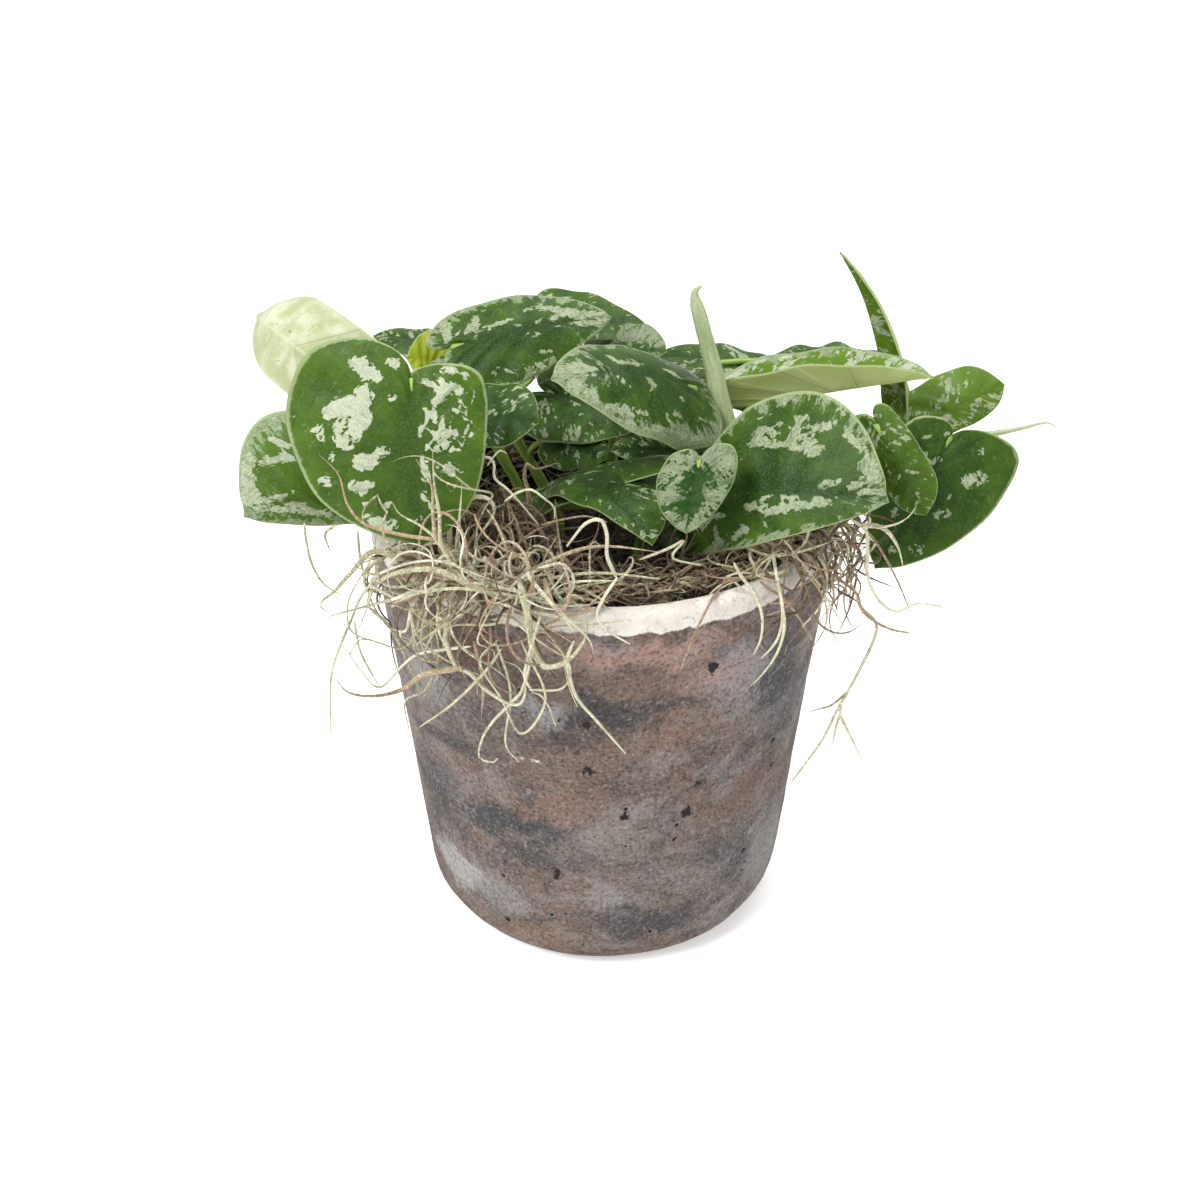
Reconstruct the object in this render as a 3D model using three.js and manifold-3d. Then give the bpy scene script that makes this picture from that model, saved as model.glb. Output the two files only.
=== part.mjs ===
// Satin pothos in a rough terracotta cover pot, dressed with Spanish moss.
// Millimetres, +Z up, the pot stands on z = 0 and the front of the plant is -Y.
import * as THREE from 'three';
import { mergeVertices } from 'three/addons/utils/BufferGeometryUtils.js';
import Module from 'manifold-3d';

const wasm = await Module();
wasm.setup();

// ---- driving dimensions -------------------------------------------------
const POT_HEIGHT = 156;
const POT_SIDES = 32;
const CLEARANCE = 0.3;

const CUP_FLOOR = 9.3;
const CUP_FOOT_RADIUS = 48;
const CUP_NECK_RADIUS = 69.2;
const CUP_NECK_HEIGHT = 147;
const CUP_WALL = 1.2;
const CUP_SIDES = 24;

const SOIL_TOP = 139;
const STEM_HOLE_DEPTH = 26;
const STEM_HOLE_CLEARANCE = 0.9;
const STEM_RADIUS = 2.4;
const PETIOLE_RADIUS = 1.5;

const BLADE_THICKNESS = 0.8;
const STRAND_RADIUS = 0.95;

const DEGREE = Math.PI / 180;

// ---- solids from three.js geometry --------------------------------------
function solidFrom(geometry) {
  const bare = new THREE.BufferGeometry();
  bare.setAttribute('position', geometry.getAttribute('position'));
  if (geometry.index) bare.setIndex(geometry.index);
  const merged = mergeVertices(bare, 1e-4);
  return new wasm.Manifold(new wasm.Mesh({
    numProp: 3,
    vertProperties: new Float32Array(merged.attributes.position.array),
    triVerts: new Uint32Array(merged.index.array),
  }));
}

function geometryFrom(solid) {
  const mesh = solid.getMesh();
  const corners = new Float32Array(mesh.numVert * 3);
  for (let i = 0; i < mesh.numVert; i += 1) {
    for (let k = 0; k < 3; k += 1) {
      corners[3 * i + k] = mesh.vertProperties[mesh.numProp * i + k];
    }
  }
  const geometry = new THREE.BufferGeometry();
  geometry.setAttribute('position', new THREE.BufferAttribute(corners, 3));
  geometry.setIndex(new THREE.BufferAttribute(new Uint32Array(mesh.triVerts), 1));
  const flat = geometry.toNonIndexed();
  flat.computeVertexNormals();
  return flat;
}

function fuse(solids) {
  return solids.reduce((all, solid) => all.add(solid));
}

// A turned shape: [radius, height] pairs from the axis at the foot, up the
// outside, and back to the axis.
function turned(profile, sides) {
  const points = profile.map(([r, z]) => new THREE.Vector2(r, z));
  const geometry = new THREE.LatheGeometry(points, sides);
  geometry.rotateX(Math.PI / 2);
  return solidFrom(geometry);
}

// A closed round rod along a curve, with its own radius at each step.
function rod(curve, steps, sides, radiusAt) {
  const frames = curve.computeFrenetFrames(steps, false);
  const corners = [];
  for (let i = 0; i <= steps; i += 1) {
    const centre = curve.getPointAt(i / steps);
    for (let k = 0; k < sides; k += 1) {
      const turn = 2 * Math.PI * k / sides;
      const corner = centre.clone();
      corner.addScaledVector(frames.normals[i], radiusAt(i / steps) * Math.cos(turn));
      corner.addScaledVector(frames.binormals[i], radiusAt(i / steps) * Math.sin(turn));
      corners.push(corner);
    }
  }
  const first = corners.length;
  corners.push(curve.getPointAt(0), curve.getPointAt(1));
  const faces = [];
  for (let k = 0; k < sides; k += 1) {
    const next = (k + 1) % sides;
    for (let i = 0; i < steps; i += 1) {
      const a = i * sides + k;
      const b = i * sides + next;
      faces.push(a, b, b + sides, a, b + sides, a + sides);
    }
    const last = steps * sides;
    faces.push(first, next, k);
    faces.push(first + 1, last + k, last + next);
  }
  const geometry = new THREE.BufferGeometry().setFromPoints(corners);
  geometry.setIndex(faces);
  return solidFrom(geometry);
}

function at([x, y, z]) {
  return new THREE.Vector3(x, y, z);
}

// ---- the cover pot and the black nursery pot in it ----------------------
const coverPotProfile = [
  [0, 0],
  [52, 0],
  [57, 1.2],
  [61, 4.2],
  [64, 9],
  [65.9, 16],
  [69, 45],
  [72.4, 78],
  [75.8, 112],
  [78.4, 137],
  [79.7, 149],
  [80, 153],
  [79.2, 155.3],
  [77.6, POT_HEIGHT],
  [74, POT_HEIGHT],
  [72.6, 155.2],
  [72, 152.5],
  [70.8, 135],
  [67.8, 105],
  [64.4, 70],
  [60.8, 35],
  [57, 15],
  [54, 10.5],
  [50, 9],
  [0, 9],
];

function cupRadius(z) {
  const rise = (z - CUP_FLOOR) / (CUP_NECK_HEIGHT - CUP_FLOOR);
  return CUP_FOOT_RADIUS + (CUP_NECK_RADIUS - CUP_FOOT_RADIUS) * rise;
}

const nurseryPotProfile = [
  [0, CUP_FLOOR],
  [CUP_FOOT_RADIUS, CUP_FLOOR],
  [CUP_NECK_RADIUS, CUP_NECK_HEIGHT],
  [70.9, CUP_NECK_HEIGHT],
  [71.1, 151.6],
  [70.6, 152.2],
  [69.4, 152.2],
  [68.8, 150.5],
  [CUP_NECK_RADIUS - CUP_WALL, CUP_NECK_HEIGHT],
  [cupRadius(CUP_FLOOR + CUP_WALL) - CUP_WALL, CUP_FLOOR + CUP_WALL],
  [0, CUP_FLOOR + CUP_WALL],
];

const soilFoot = CUP_FLOOR + CUP_WALL + CLEARANCE;
const soilGap = CUP_WALL + 2 * CLEARANCE;
const soilProfile = [
  [0, soilFoot],
  [cupRadius(soilFoot) - soilGap, soilFoot],
  [cupRadius(SOIL_TOP) - soilGap, SOIL_TOP],
  [56, SOIL_TOP + 0.8],
  [42, SOIL_TOP - 0.6],
  [26, SOIL_TOP + 1.2],
  [10, SOIL_TOP + 0.2],
  [0, SOIL_TOP + 0.9],
];

// ---- a pothos leaf ------------------------------------------------------
// Half of the heart-shaped outline from the notch at the petiole, round the
// lobe to the drawn-out tip: x in half-widths, y in lengths of the midrib.
const HALF_OUTLINE = [
  [0, 0],
  [0.26, -0.2],
  [0.78, -0.17],
  [1, 0.1],
  [0.95, 0.4],
  [0.68, 0.7],
  [0.24, 0.93],
  [0, 1],
];
const ACROSS = [-1, -0.5, 0, 0.5, 1];

// The leaf's own axes: along the midrib, out of the upper face, and across.
function leafAxes({ base, tip, face }) {
  const along = at(tip).sub(at(base));
  const length = along.length();
  along.normalize();
  const up = at(face);
  up.addScaledVector(along, -up.dot(along)).normalize();
  const across = new THREE.Vector3().crossVectors(along, up);
  return { along, up, across, length };
}

// A point of the blade. s runs along the midrib from 0 to 1 and x is the flat
// distance from it. fold lifts each half from the midrib, cup turns its outer
// part further, and bend arches the whole blade from its base to its tip.
function bladePoint(leaf, axes, s, x) {
  const side = x < 0 ? 0 : 1;
  const half = leaf.width / 2 * (1 + (leaf.skew ?? 0) * (side ? 1 : -1));
  const fold = (leaf.fold ?? [8, 8])[side] * DEGREE;
  const cup = (leaf.cup ?? [-25, -25])[side] * DEGREE;
  const reach = Math.abs(x);
  let out = 0;
  let lift = 0;
  for (let i = 0; i < 8; i += 1) {
    const part = (i + 0.5) / 8 * reach;
    out += Math.cos(fold + cup * part / half) * reach / 8;
    lift += Math.sin(fold + cup * part / half) * reach / 8;
  }
  if (!side) out = -out;
  const bend = (leaf.bend ?? 25) * DEGREE;
  const radius = axes.length / (2 * Math.sin(bend / 2));
  const lean = bend / 2 - bend * s;
  const run = radius * (Math.sin(bend / 2) - Math.sin(lean)) - Math.sin(lean) * lift;
  const rise = Math.cos(lean) * lift - radius * (Math.cos(bend / 2) - Math.cos(lean));
  return at(leaf.base)
    .addScaledVector(axes.along, run)
    .addScaledVector(axes.up, rise)
    .addScaledVector(axes.across, out);
}

function bladeSolid(leaf) {
  const axes = leafAxes(leaf);
  const rows = HALF_OUTLINE.length;
  const middle = [];
  for (let i = 1; i < rows - 1; i += 1) {
    const [edgeX, edgeY] = HALF_OUTLINE[i];
    const past = Math.max(0, edgeY);
    const narrowed = edgeX * (1 - (leaf.taper ?? 0) * past);
    const outX = narrowed + (leaf.blunt ?? 0) * 0.36 * Math.sin(Math.PI * past ** 3);
    const ribStart = (i / (rows - 1)) ** 1.25;
    middle.push(ACROSS.map((u) => {
      const half = leaf.width / 2 * (1 + (leaf.skew ?? 0) * Math.sign(u));
      const sweep = (leaf.shear ?? 0) * outX * Math.sign(u) * (1 - (i / (rows - 1)) ** 3);
      const lobe = edgeY < 0 ? (leaf.lobe ?? [1, 1])[u < 0 ? 0 : 1] : 1;
      const s = ribStart + (edgeY * lobe + sweep - ribStart) * Math.abs(u);
      return bladePoint(leaf, axes, s, outX * half * u);
    }));
  }
  const notch = bladePoint(leaf, axes, 0, 0);
  const point = bladePoint(leaf, axes, 1, 0);
  const columns = ACROSS.length;
  const sheet = [notch, ...middle.flat(), point];
  const last = sheet.length - 1;
  const index = (row, column) => 1 + row * columns + column;
  const top = [];
  for (let c = 0; c < columns - 1; c += 1) {
    top.push([0, index(0, c + 1), index(0, c)]);
    for (let r = 0; r < middle.length - 1; r += 1) {
      const corners = [index(r, c), index(r, c + 1), index(r + 1, c + 1), index(r + 1, c)];
      top.push([corners[0], corners[1], corners[2]], [corners[0], corners[2], corners[3]]);
    }
    top.push([last, index(middle.length - 1, c), index(middle.length - 1, c + 1)]);
  }
  const normals = sheet.map(() => new THREE.Vector3());
  for (const [a, b, c] of top) {
    const normal = new THREE.Vector3().crossVectors(
      sheet[b].clone().sub(sheet[a]),
      sheet[c].clone().sub(sheet[a]),
    );
    normals[a].add(normal);
    normals[b].add(normal);
    normals[c].add(normal);
  }
  normals.forEach((normal) => normal.normalize());
  const half = BLADE_THICKNESS / 2;
  const corners = [
    ...sheet.map((p, i) => p.clone().addScaledVector(normals[i], half)),
    ...sheet.map((p, i) => p.clone().addScaledVector(normals[i], -half)),
  ];
  const under = sheet.length;
  const faces = top.flatMap(([a, b, c]) => [a, b, c, under + a, under + c, under + b]);
  const rim = [0];
  for (let r = 0; r < middle.length; r += 1) rim.push(index(r, 0));
  rim.push(last);
  for (let r = middle.length - 1; r >= 0; r -= 1) rim.push(index(r, columns - 1));
  rim.forEach((a, i) => {
    const b = rim[(i + 1) % rim.length];
    faces.push(a, b, under + b, a, under + b, under + a);
  });
  const geometry = new THREE.BufferGeometry().setFromPoints(corners);
  geometry.setIndex(faces);
  const solid = solidFrom(geometry);
  return solid;
}

// The petiole leaves the stem upwards and meets the blade from behind and
// below, running a little way along the midrib.
function petioleSolid(leaf, axes, stem) {
  const start = stem.getPointAt(leaf.from);
  const heading = stem.getTangentAt(leaf.from);
  const meet = bladePoint(leaf, axes, 0.02, 0);
  const end = bladePoint(leaf, axes, 0.1, 0);
  const arrive = end.clone().sub(meet).normalize();
  arrive.addScaledVector(axes.up, leaf.rise ?? 0.6).normalize();
  const span = start.distanceTo(meet);
  const path = new THREE.CurvePath();
  path.add(new THREE.CubicBezierCurve3(
    start,
    start.clone().addScaledVector(heading, span * (leaf.lift ?? 0.4)),
    meet.clone().addScaledVector(arrive, -span * 0.35),
    meet,
  ));
  path.add(new THREE.LineCurve3(meet, end));
  const smooth = new THREE.CatmullRomCurve3(path.getSpacedPoints(6));
  return rod(smooth, 5, 4, (u) => PETIOLE_RADIUS * (1 - 0.25 * u));
}

// A young leaf still rolled along its length, whose thin tip curls over.
// girths are its radii from foot to tip.
function rolledLeafSolid({ roll, girths }) {
  const path = new THREE.CatmullRomCurve3(roll.map(at));
  const swell = new THREE.CatmullRomCurve3(girths.map((girth, i) => at([girth, i, 0])));
  return rod(path, 8, 6, (u) => swell.getPoint(u).x);
}

// ---- the stems, each with its petioles and leaves -----------------------
// from is the place on the stem where the petiole starts, 0 at the foot in
// the soil and 1 at the growing tip. skew widens one half of a blade, shear
// slides the halves along each other, lobe shortens its two lobes, taper
// narrows it and blunt rounds its tip.
const STEMS = [
  {
    name: 'leafy_stem_left',
    path: [[-36, -14, SOIL_TOP + 6], [-41, -13, 160], [-50, -10, 182]],
    leaves: [
      {
        from: 0.72, base: [-79, -8, 197], tip: [-117, 24, 213], face: [0.25, 0.8, -0.6],
        width: 34, blunt: 0.8, skew: -0.1, bend: -95, fold: [12, 12], cup: [20, 20], rise: 0.1,
      },
      {
        from: 0.95, base: [-57, -52, 222], tip: [-55, -66, 173], face: [-0.14, -1, 0.45],
        width: 62, bend: 22, skew: 0.28, lobe: [0.35, 1.1], blunt: 0.35, rise: 1.6, lift: 0.15,
      },
      {
        from: 0.6, base: [-73, -37, 182], tip: [-110.5, -57, 178], face: [-0.1, -0.8, 0.6],
        width: 46, bend: 35, fold: [-35, 8], cup: [-22, -30], skew: 0.3, shear: 0.35,
      },
      {
        from: 0.85, base: [-46, -34, 199], tip: [-20, -42, 203], face: [0, -0.4, 0.9],
        width: 30, blunt: 0.6, skew: -0.2, bend: 30, cup: [-30, -30],
      },
    ],
  },
  {
    name: 'leafy_stem_back_left',
    path: [[-30, 26, SOIL_TOP + 6], [-36, 25, 160], [-46, 22, 184]],
    leaves: [
      {
        from: 0.97, base: [-52, 16, 203], tip: [-79, 26, 205], face: [0, -0.05, 1],
        width: 24, bend: 25,
      },
      {
        from: 0.85, base: [-53, 10, 200], tip: [-65, 3, 206], face: [0, -0.6, 0.7],
        width: 26, bend: 25,
      },
      {
        from: 0.75, base: [-52, 42, 180], tip: [-82, 78, 154], face: [-0.3, 0.6, 0.75],
        width: 44, bend: 30,
      },
      {
        from: 0.6, base: [-66, 18, 178], tip: [-106, 44, 162], face: [-0.5, 0.3, 0.8],
        width: 40, bend: 30,
      },
      {
        from: 0.66, base: [-26, 54, 180], tip: [-22, 98, 158], face: [0, 0.6, 0.8],
        width: 46, bend: 30,
      },
    ],
  },
  {
    name: 'leafy_stem_centre_left',
    path: [[-16, 4, SOIL_TOP + 6], [-20, 3, 158], [-32, 2, 182]],
    leaves: [
      {
        from: 0.96, base: [-50, 0, 211], tip: [3, 12, 217], face: [-0.1, -0.7, 0.8],
        width: 39, bend: 25, fold: [2, 0], cup: [-30, -35], skew: 0.18, shear: -0.22, taper: 0.25,
        lobe: [1, 0.1],
      },
      {
        from: 0.6, base: [-14, -7, 183], tip: [1, -18, 179], face: [0, -0.6, 0.7],
        width: 24, bend: 25,
      },
    ],
  },
  {
    name: 'leafy_stem_centre',
    path: [[4, 14, SOIL_TOP + 6], [3, 15, 162], [4, 18, 186]],
    leaves: [
      {
        from: 0.98, base: [-17, 36, 211], tip: [21, 26, 202], face: [0.1, -0.3, 0.95],
        width: 30, taper: 0.45, skew: 0.1, bend: 25, cup: [-20, -20],
      },
      {
        from: 0.88, base: [-5, 20, 200], tip: [21, 6, 207], face: [0.1, -0.4, 0.9],
        width: 34, bend: 25,
      },
      {
        from: 0.7, base: [-19, 6, 193], tip: [12, -11, 187], face: [-0.2, -0.45, 0.9],
        width: 36, bend: 25, cup: [-30, -30],
      },
    ],
  },
  {
    name: 'leafy_stem_front',
    path: [[12, -14, SOIL_TOP + 6], [14, -17, 156], [20, -24, 170]],
    leaves: [
      {
        from: 0.97, base: [29, -53, 195], tip: [25, -64, 176], face: [-0.12, -0.75, 0.6],
        width: 23.5, bend: 20, fold: [10, 10], cup: [-30, -30], shear: 0.2, rise: 2,
      },
      {
        from: 0.5, base: [-23, -24, 170], tip: [29, -40, 189], face: [0, 0.15, 1],
        width: 27, bend: 30, fold: [5, -15], cup: [-30, -20], skew: 0.1,
      },
      {
        from: 0.4, base: [-12, -34, 179], tip: [15, -64, 172], face: [0.15, -0.3, 1],
        width: 36, bend: 75, fold: [5, 5], cup: [-40, -40], skew: -0.5,
      },
    ],
  },
  {
    name: 'leafy_stem_right',
    path: [[30, -2, SOIL_TOP + 6], [33, -4, 160], [41, -10, 180]],
    leaves: [
      {
        from: 0.6, base: [35, -38, 179], tip: [85.5, -66, 188], face: [-0.3, -0.75, 0.6],
        width: 56, bend: 35, fold: [6, 2], cup: [-25, -30], skew: -0.2, shear: -0.38, rise: 2,
        taper: 0.2,
      },
      {
        from: 0.97, base: [48, 4, 189], tip: [106, -12, 206], face: [0, -0.1, 1],
        width: 38, bend: 4, fold: [20, 62], cup: [-10, 5], skew: -0.2,
      },
      {
        from: 0.85, base: [30, -15, 203], tip: [-16, -46, 219], face: [0.1, -0.35, 1],
        width: 46, bend: 35, fold: [-12, 8], cup: [-45, -45], shear: -0.05,
      },
      {
        from: 0.7, base: [30, -13, 178], tip: [2, -19, 183], face: [0, -0.35, 0.9],
        width: 22, bend: 25,
      },
      {
        roll: [[37, -7, 172], [41, -9, 183], [38, -6, 195], [35, -5, 208], [31, -4, 222], [29, -3, 231], [31, -3, 233]],
        girths: [1.7, 2.6, 3.2, 3.4, 3.3, 3.0, 2.7, 2.6, 2.2, 0.5],
      },
    ],
  },
  {
    name: 'leafy_stem_far_right',
    path: [[46, 12, SOIL_TOP + 6], [52, 11, 164], [72, 8, 177], [98, 4, 175]],
    leaves: [
      {
        from: 0.7, base: [103, 10, 186], tip: [78, 24, 235], face: [-0.9, -0.45, 0],
        width: 19, taper: 0.6, bend: -50, fold: [35, 35], cup: [0, 0], rise: 0.1,
      },
      {
        from: 0.97, base: [104, 1, 181], tip: [135, 10, 194], face: [0, -0.6, 0.8],
        width: 21, blunt: 1, skew: -0.3, bend: 20, fold: [5, -20], cup: [-20, -10],
      },
      {
        from: 0.9, base: [115, -8, 183], tip: [90, -28, 144], face: [0.05, -0.9, 0.35],
        width: 42, bend: 15, cup: [-20, -20], skew: -0.22, lobe: [0.5, 0.5], shear: 0.1,
      },
      {
        from: 0.6, base: [87, -24, 194], tip: [102, -42, 171], face: [-0.1, -0.9, 0.4],
        width: 17, blunt: 1, taper: -0.3, bend: 30, fold: [-5, -35], cup: [-30, -20],
      },
      {
        roll: [[95, 4, 175], [112, 4, 176], [128, 0, 180], [138, -4, 184], [147, -6, 187], [150, -6, 185]],
        girths: [1.4, 1.6, 1.5, 1.5, 1.4, 1.3, 1.1, 0.8, 0.5, 0.2],
      },
    ],
  },
  {
    name: 'leafy_stem_back',
    path: [[20, 34, SOIL_TOP + 6], [22, 36, 160], [26, 40, 178]],
    leaves: [
      {
        from: 0.9, base: [55, 45, 184], tip: [18, 55, 186], face: [0.05, -0.1, 1],
        width: 32, bend: 25,
      },
      {
        from: 0.8, base: [33, 30, 187], tip: [62, 38, 181], face: [0.1, 0, 1],
        width: 26, bend: 25,
      },
      {
        from: 0.97, base: [96, 58, 183], tip: [58, 56, 183], face: [0, 0, 1],
        width: 30, bend: 20, cup: [-20, -20],
      },
      {
        from: 0.7, base: [14, 58, 176], tip: [24, 100, 154], face: [0.1, 0.6, 0.8],
        width: 44, bend: 30,
      },
      {
        from: 0.6, base: [44, 50, 172], tip: [72, 86, 150], face: [0.4, 0.6, 0.7],
        width: 44, bend: 30,
      },
      {
        from: 0.45, base: [-6, 64, 172], tip: [0, 96, 138], face: [0, 0.9, 0.4],
        width: 34, bend: 25,
      },
    ],
  },
];

function stemSolid({ path, leaves }) {
  const [x, y] = path[0];
  const foot = [
    at([x, y, SOIL_TOP - STEM_HOLE_DEPTH + CLEARANCE]),
    at([x, y, SOIL_TOP - STEM_HOLE_DEPTH / 2]),
  ];
  const curve = new THREE.CatmullRomCurve3([...foot, ...path.map(at)]);
  const vine = new THREE.CatmullRomCurve3(path.map(at));
  const pieces = [rod(curve, 7, 6, (u) => STEM_RADIUS * (1 - 0.25 * u))];
  for (const leaf of leaves) {
    if (leaf.roll) {
      pieces.push(rolledLeafSolid(leaf));
    } else {
      pieces.push(bladeSolid(leaf));
      pieces.push(petioleSolid(leaf, leafAxes(leaf), vine));
    }
  }
  return fuse(pieces);
}

const plant = new THREE.Group();
const leafGreen = { color: 0x3f7a35, roughness: 0.5, metalness: 0 };

function place(name, solid, look) {
  const mesh = new THREE.Mesh(geometryFrom(solid), new THREE.MeshStandardMaterial(look));
  mesh.name = name;
  plant.add(mesh);
}

const coverPot = turned(coverPotProfile, POT_SIDES);
const nurseryPot = turned(nurseryPotProfile, CUP_SIDES);
let soil = turned(soilProfile, CUP_SIDES);
for (const { path } of STEMS) {
  const hole = new THREE.CylinderGeometry(
    STEM_RADIUS + STEM_HOLE_CLEARANCE,
    STEM_RADIUS + STEM_HOLE_CLEARANCE,
    2 * STEM_HOLE_DEPTH,
    8,
  );
  hole.rotateX(Math.PI / 2);
  hole.translate(path[0][0], path[0][1], SOIL_TOP);
  soil = soil.subtract(solidFrom(hole));
}

const stemSolids = STEMS.map((stem) => stemSolid(stem));

// ---- Spanish moss laid over the soil and the rim ------------------------
// Each tangle has a lumpy rope that lies on what carries it, and strands that
// wander out of the rope, curl and hang. A strand that would run through a
// leaf, a pot or another tangle is drawn again.
function randomFrom(seed) {
  let state = seed;
  return () => {
    state = (state + 0x6d2b79f5) | 0;
    let t = Math.imul(state ^ (state >>> 15), 1 | state);
    t = (t + Math.imul(t ^ (t >>> 7), 61 | t)) ^ t;
    return ((t ^ (t >>> 14)) >>> 0) / 4294967296;
  };
}

function ringPoint(degrees, radius, height) {
  return new THREE.Vector3(
    radius * Math.cos(degrees * DEGREE),
    radius * Math.sin(degrees * DEGREE),
    height,
  );
}

const TANGLES = [
  {
    name: 'moss_bed', look: 0x8a7350, seed: 11, strands: 22,
    arc: [-215, 35], radius: 59, height: 148, girth: 6, length: [26, 52], spring: 0.75, weight: 0.1,
  },
  {
    name: 'moss_beard', look: 0xb9b58a, seed: 23, strands: 24,
    arc: [-150, -94], radius: 77, height: 161.6, girth: 4.6, length: [40, 88], spring: 0.15, weight: 0.24,
  },
  {
    name: 'moss_tuft', look: 0x9a9468, seed: 37, strands: 9,
    arc: [-42, -12], radius: 77, height: 161, girth: 4, length: [30, 70], spring: 0.1, weight: 0.22,
  },
];

function ropeSolid({ arc, radius, height, girth }) {
  const span = arc[1] - arc[0];
  const knots = Math.ceil(span / 12);
  const points = [];
  for (let i = 0; i <= knots; i += 1) {
    const sway = Math.sin(2.1 * i) * 0.6;
    points.push(ringPoint(arc[0] + span * i / knots, radius + sway, height + sway * 0.4));
  }
  const path = new THREE.CatmullRomCurve3(points);
  const steps = Math.ceil(span / 14);
  return rod(path, steps, 6, (u) => girth * (0.86 + 0.12 * Math.sin(19 * u) - 0.5 * Math.abs(2 * u - 1) ** 8));
}

function strandPath(tangle, random) {
  const turn = tangle.arc[0] + (tangle.arc[1] - tangle.arc[0]) * (0.03 + 0.94 * random());
  const start = ringPoint(turn, tangle.radius, tangle.height);
  const outward = ringPoint(turn, 1, 0);
  const sideways = ringPoint(turn + 90, 1, 0);
  const heading = outward.clone()
    .addScaledVector(sideways, 2.4 * random() - 1.2)
    .add(new THREE.Vector3(0, 0, tangle.spring + 0.7 * random()));
  if (tangle.spring > 0.5 && random() < 0.6) heading.addScaledVector(outward, -1.8);
  heading.normalize();
  const curl = new THREE.Vector3(random() - 0.5, random() - 0.5, random() - 0.5).normalize();
  const turnRate = (0.15 + 0.55 * random()) * (random() < 0.5 ? -1 : 1);
  const length = tangle.length[0] + (tangle.length[1] - tangle.length[0]) * random() ** 1.6;
  const steps = 7;
  const points = [start.clone()];
  for (let i = 0; i < steps; i += 1) {
    heading.applyAxisAngle(curl, turnRate);
    heading.z -= tangle.weight;
    heading.normalize();
    points.push(points[i].clone().addScaledVector(heading, length / steps));
  }
  return new THREE.CatmullRomCurve3(points);
}

// The bed is heaped up between the left and the front stems.
const heap = new THREE.CatmullRomCurve3(
  [[-46, -38, 148], [-42, -45, 160], [-34, -48, 170], [-24, -51, 162], [-14, -57, 148]].map(at),
);
const heapSolid = rod(heap, 7, 6, (u) => 6.4 + 1.2 * Math.sin(3 * Math.PI * u));

const ropes = TANGLES.map((tangle) => ropeSolid(tangle));
ropes[0] = ropes[0].add(heapSolid);
const taken = [coverPot, nurseryPot, soil, ...stemSolids];

function tangleSolid(tangle, own) {
  const random = randomFrom(tangle.seed);
  const others = [...taken, ...ropes.filter((rope, i) => i !== own)];
  let solid = ropes[own];
  let laid = 0;
  for (let draw = 0; draw < 900 && laid < tangle.strands; draw += 1) {
    const path = strandPath(tangle, random);
    const room = rod(path, 7, 3, () => STRAND_RADIUS + 2 * CLEARANCE);
    if (others.every((other) => room.intersect(other).isEmpty())) {
      solid = solid.add(rod(path, 7, 3, (u) => STRAND_RADIUS * (1.15 - 0.5 * u)));
      laid += 1;
    }
  }
  taken.push(solid);
  return solid;
}

place('cover_pot', coverPot, { color: 0x7d6a60, roughness: 0.9, metalness: 0 });
place('nursery_pot', nurseryPot, { color: 0x151515, roughness: 0.45, metalness: 0 });
place('soil', soil, { color: 0x2a211b, roughness: 1, metalness: 0 });
STEMS.forEach((stem, i) => place(stem.name, stemSolids[i], leafGreen));
TANGLES.forEach((tangle, i) => {
  place(tangle.name, tangleSolid(tangle, i), { color: tangle.look, roughness: 0.95, metalness: 0 });
});

export default plant;
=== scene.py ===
import math
import random

import bpy
from mathutils import Matrix, Vector, noise
from mathutils.bvhtree import BVHTree


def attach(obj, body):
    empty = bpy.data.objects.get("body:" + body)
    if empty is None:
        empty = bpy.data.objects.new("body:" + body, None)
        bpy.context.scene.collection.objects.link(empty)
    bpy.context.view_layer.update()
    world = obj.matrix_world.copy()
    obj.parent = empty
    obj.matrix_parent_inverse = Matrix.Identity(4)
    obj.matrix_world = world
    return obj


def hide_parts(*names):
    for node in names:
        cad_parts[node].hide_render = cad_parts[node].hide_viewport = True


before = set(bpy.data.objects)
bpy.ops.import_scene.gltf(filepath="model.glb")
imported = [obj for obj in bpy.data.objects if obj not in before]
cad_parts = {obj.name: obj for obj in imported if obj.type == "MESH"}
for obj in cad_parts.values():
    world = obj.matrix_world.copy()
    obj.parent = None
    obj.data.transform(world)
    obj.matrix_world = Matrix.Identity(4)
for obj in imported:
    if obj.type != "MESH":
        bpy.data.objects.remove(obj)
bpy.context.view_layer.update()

# ---------------------------------------------------------------------------
# The studio: a pale floor that runs out of sight and glows a little, as a lit
# sweep does, a soft key from the upper left, a weaker lamp above the back, and
# an even white surround.
MM = 0.001


def new_object(name, data, *materials):
    piece = bpy.data.objects.new(name, data)
    bpy.context.scene.collection.objects.link(piece)
    for material in materials:
        data.materials.append(material)
    return piece


view = new_object("view", bpy.data.cameras.new("view"))
view.data.lens = 50
view.data.sensor_width = 36
view.location = (0, -0.512, 0.4125)
view.rotation_euler = (math.radians(59.9), 0, math.radians(0.14))
bpy.context.scene.camera = view
bpy.context.scene.view_settings.view_transform = "Standard"

pale_paint = bpy.data.materials.new("pale_floor_paint")
pale_paint.use_nodes = True
pale_inputs = pale_paint.node_tree.nodes["Principled BSDF"].inputs
pale_inputs["Base Color"].default_value = (0.96, 0.96, 0.96, 1)
pale_inputs["Roughness"].default_value = 0.9
pale_inputs["Emission Color"].default_value = (1, 1, 1, 1)
pale_inputs["Emission Strength"].default_value = 0.42
floor_mesh = bpy.data.meshes.new("studio_floor")
floor_mesh.from_pydata([(-6, -3, 0), (6, -3, 0), (6, 9, 0), (-6, 9, 0)], [], [(0, 1, 2, 3)])
studio_floor = new_object("studio_floor", floor_mesh, pale_paint)

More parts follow.
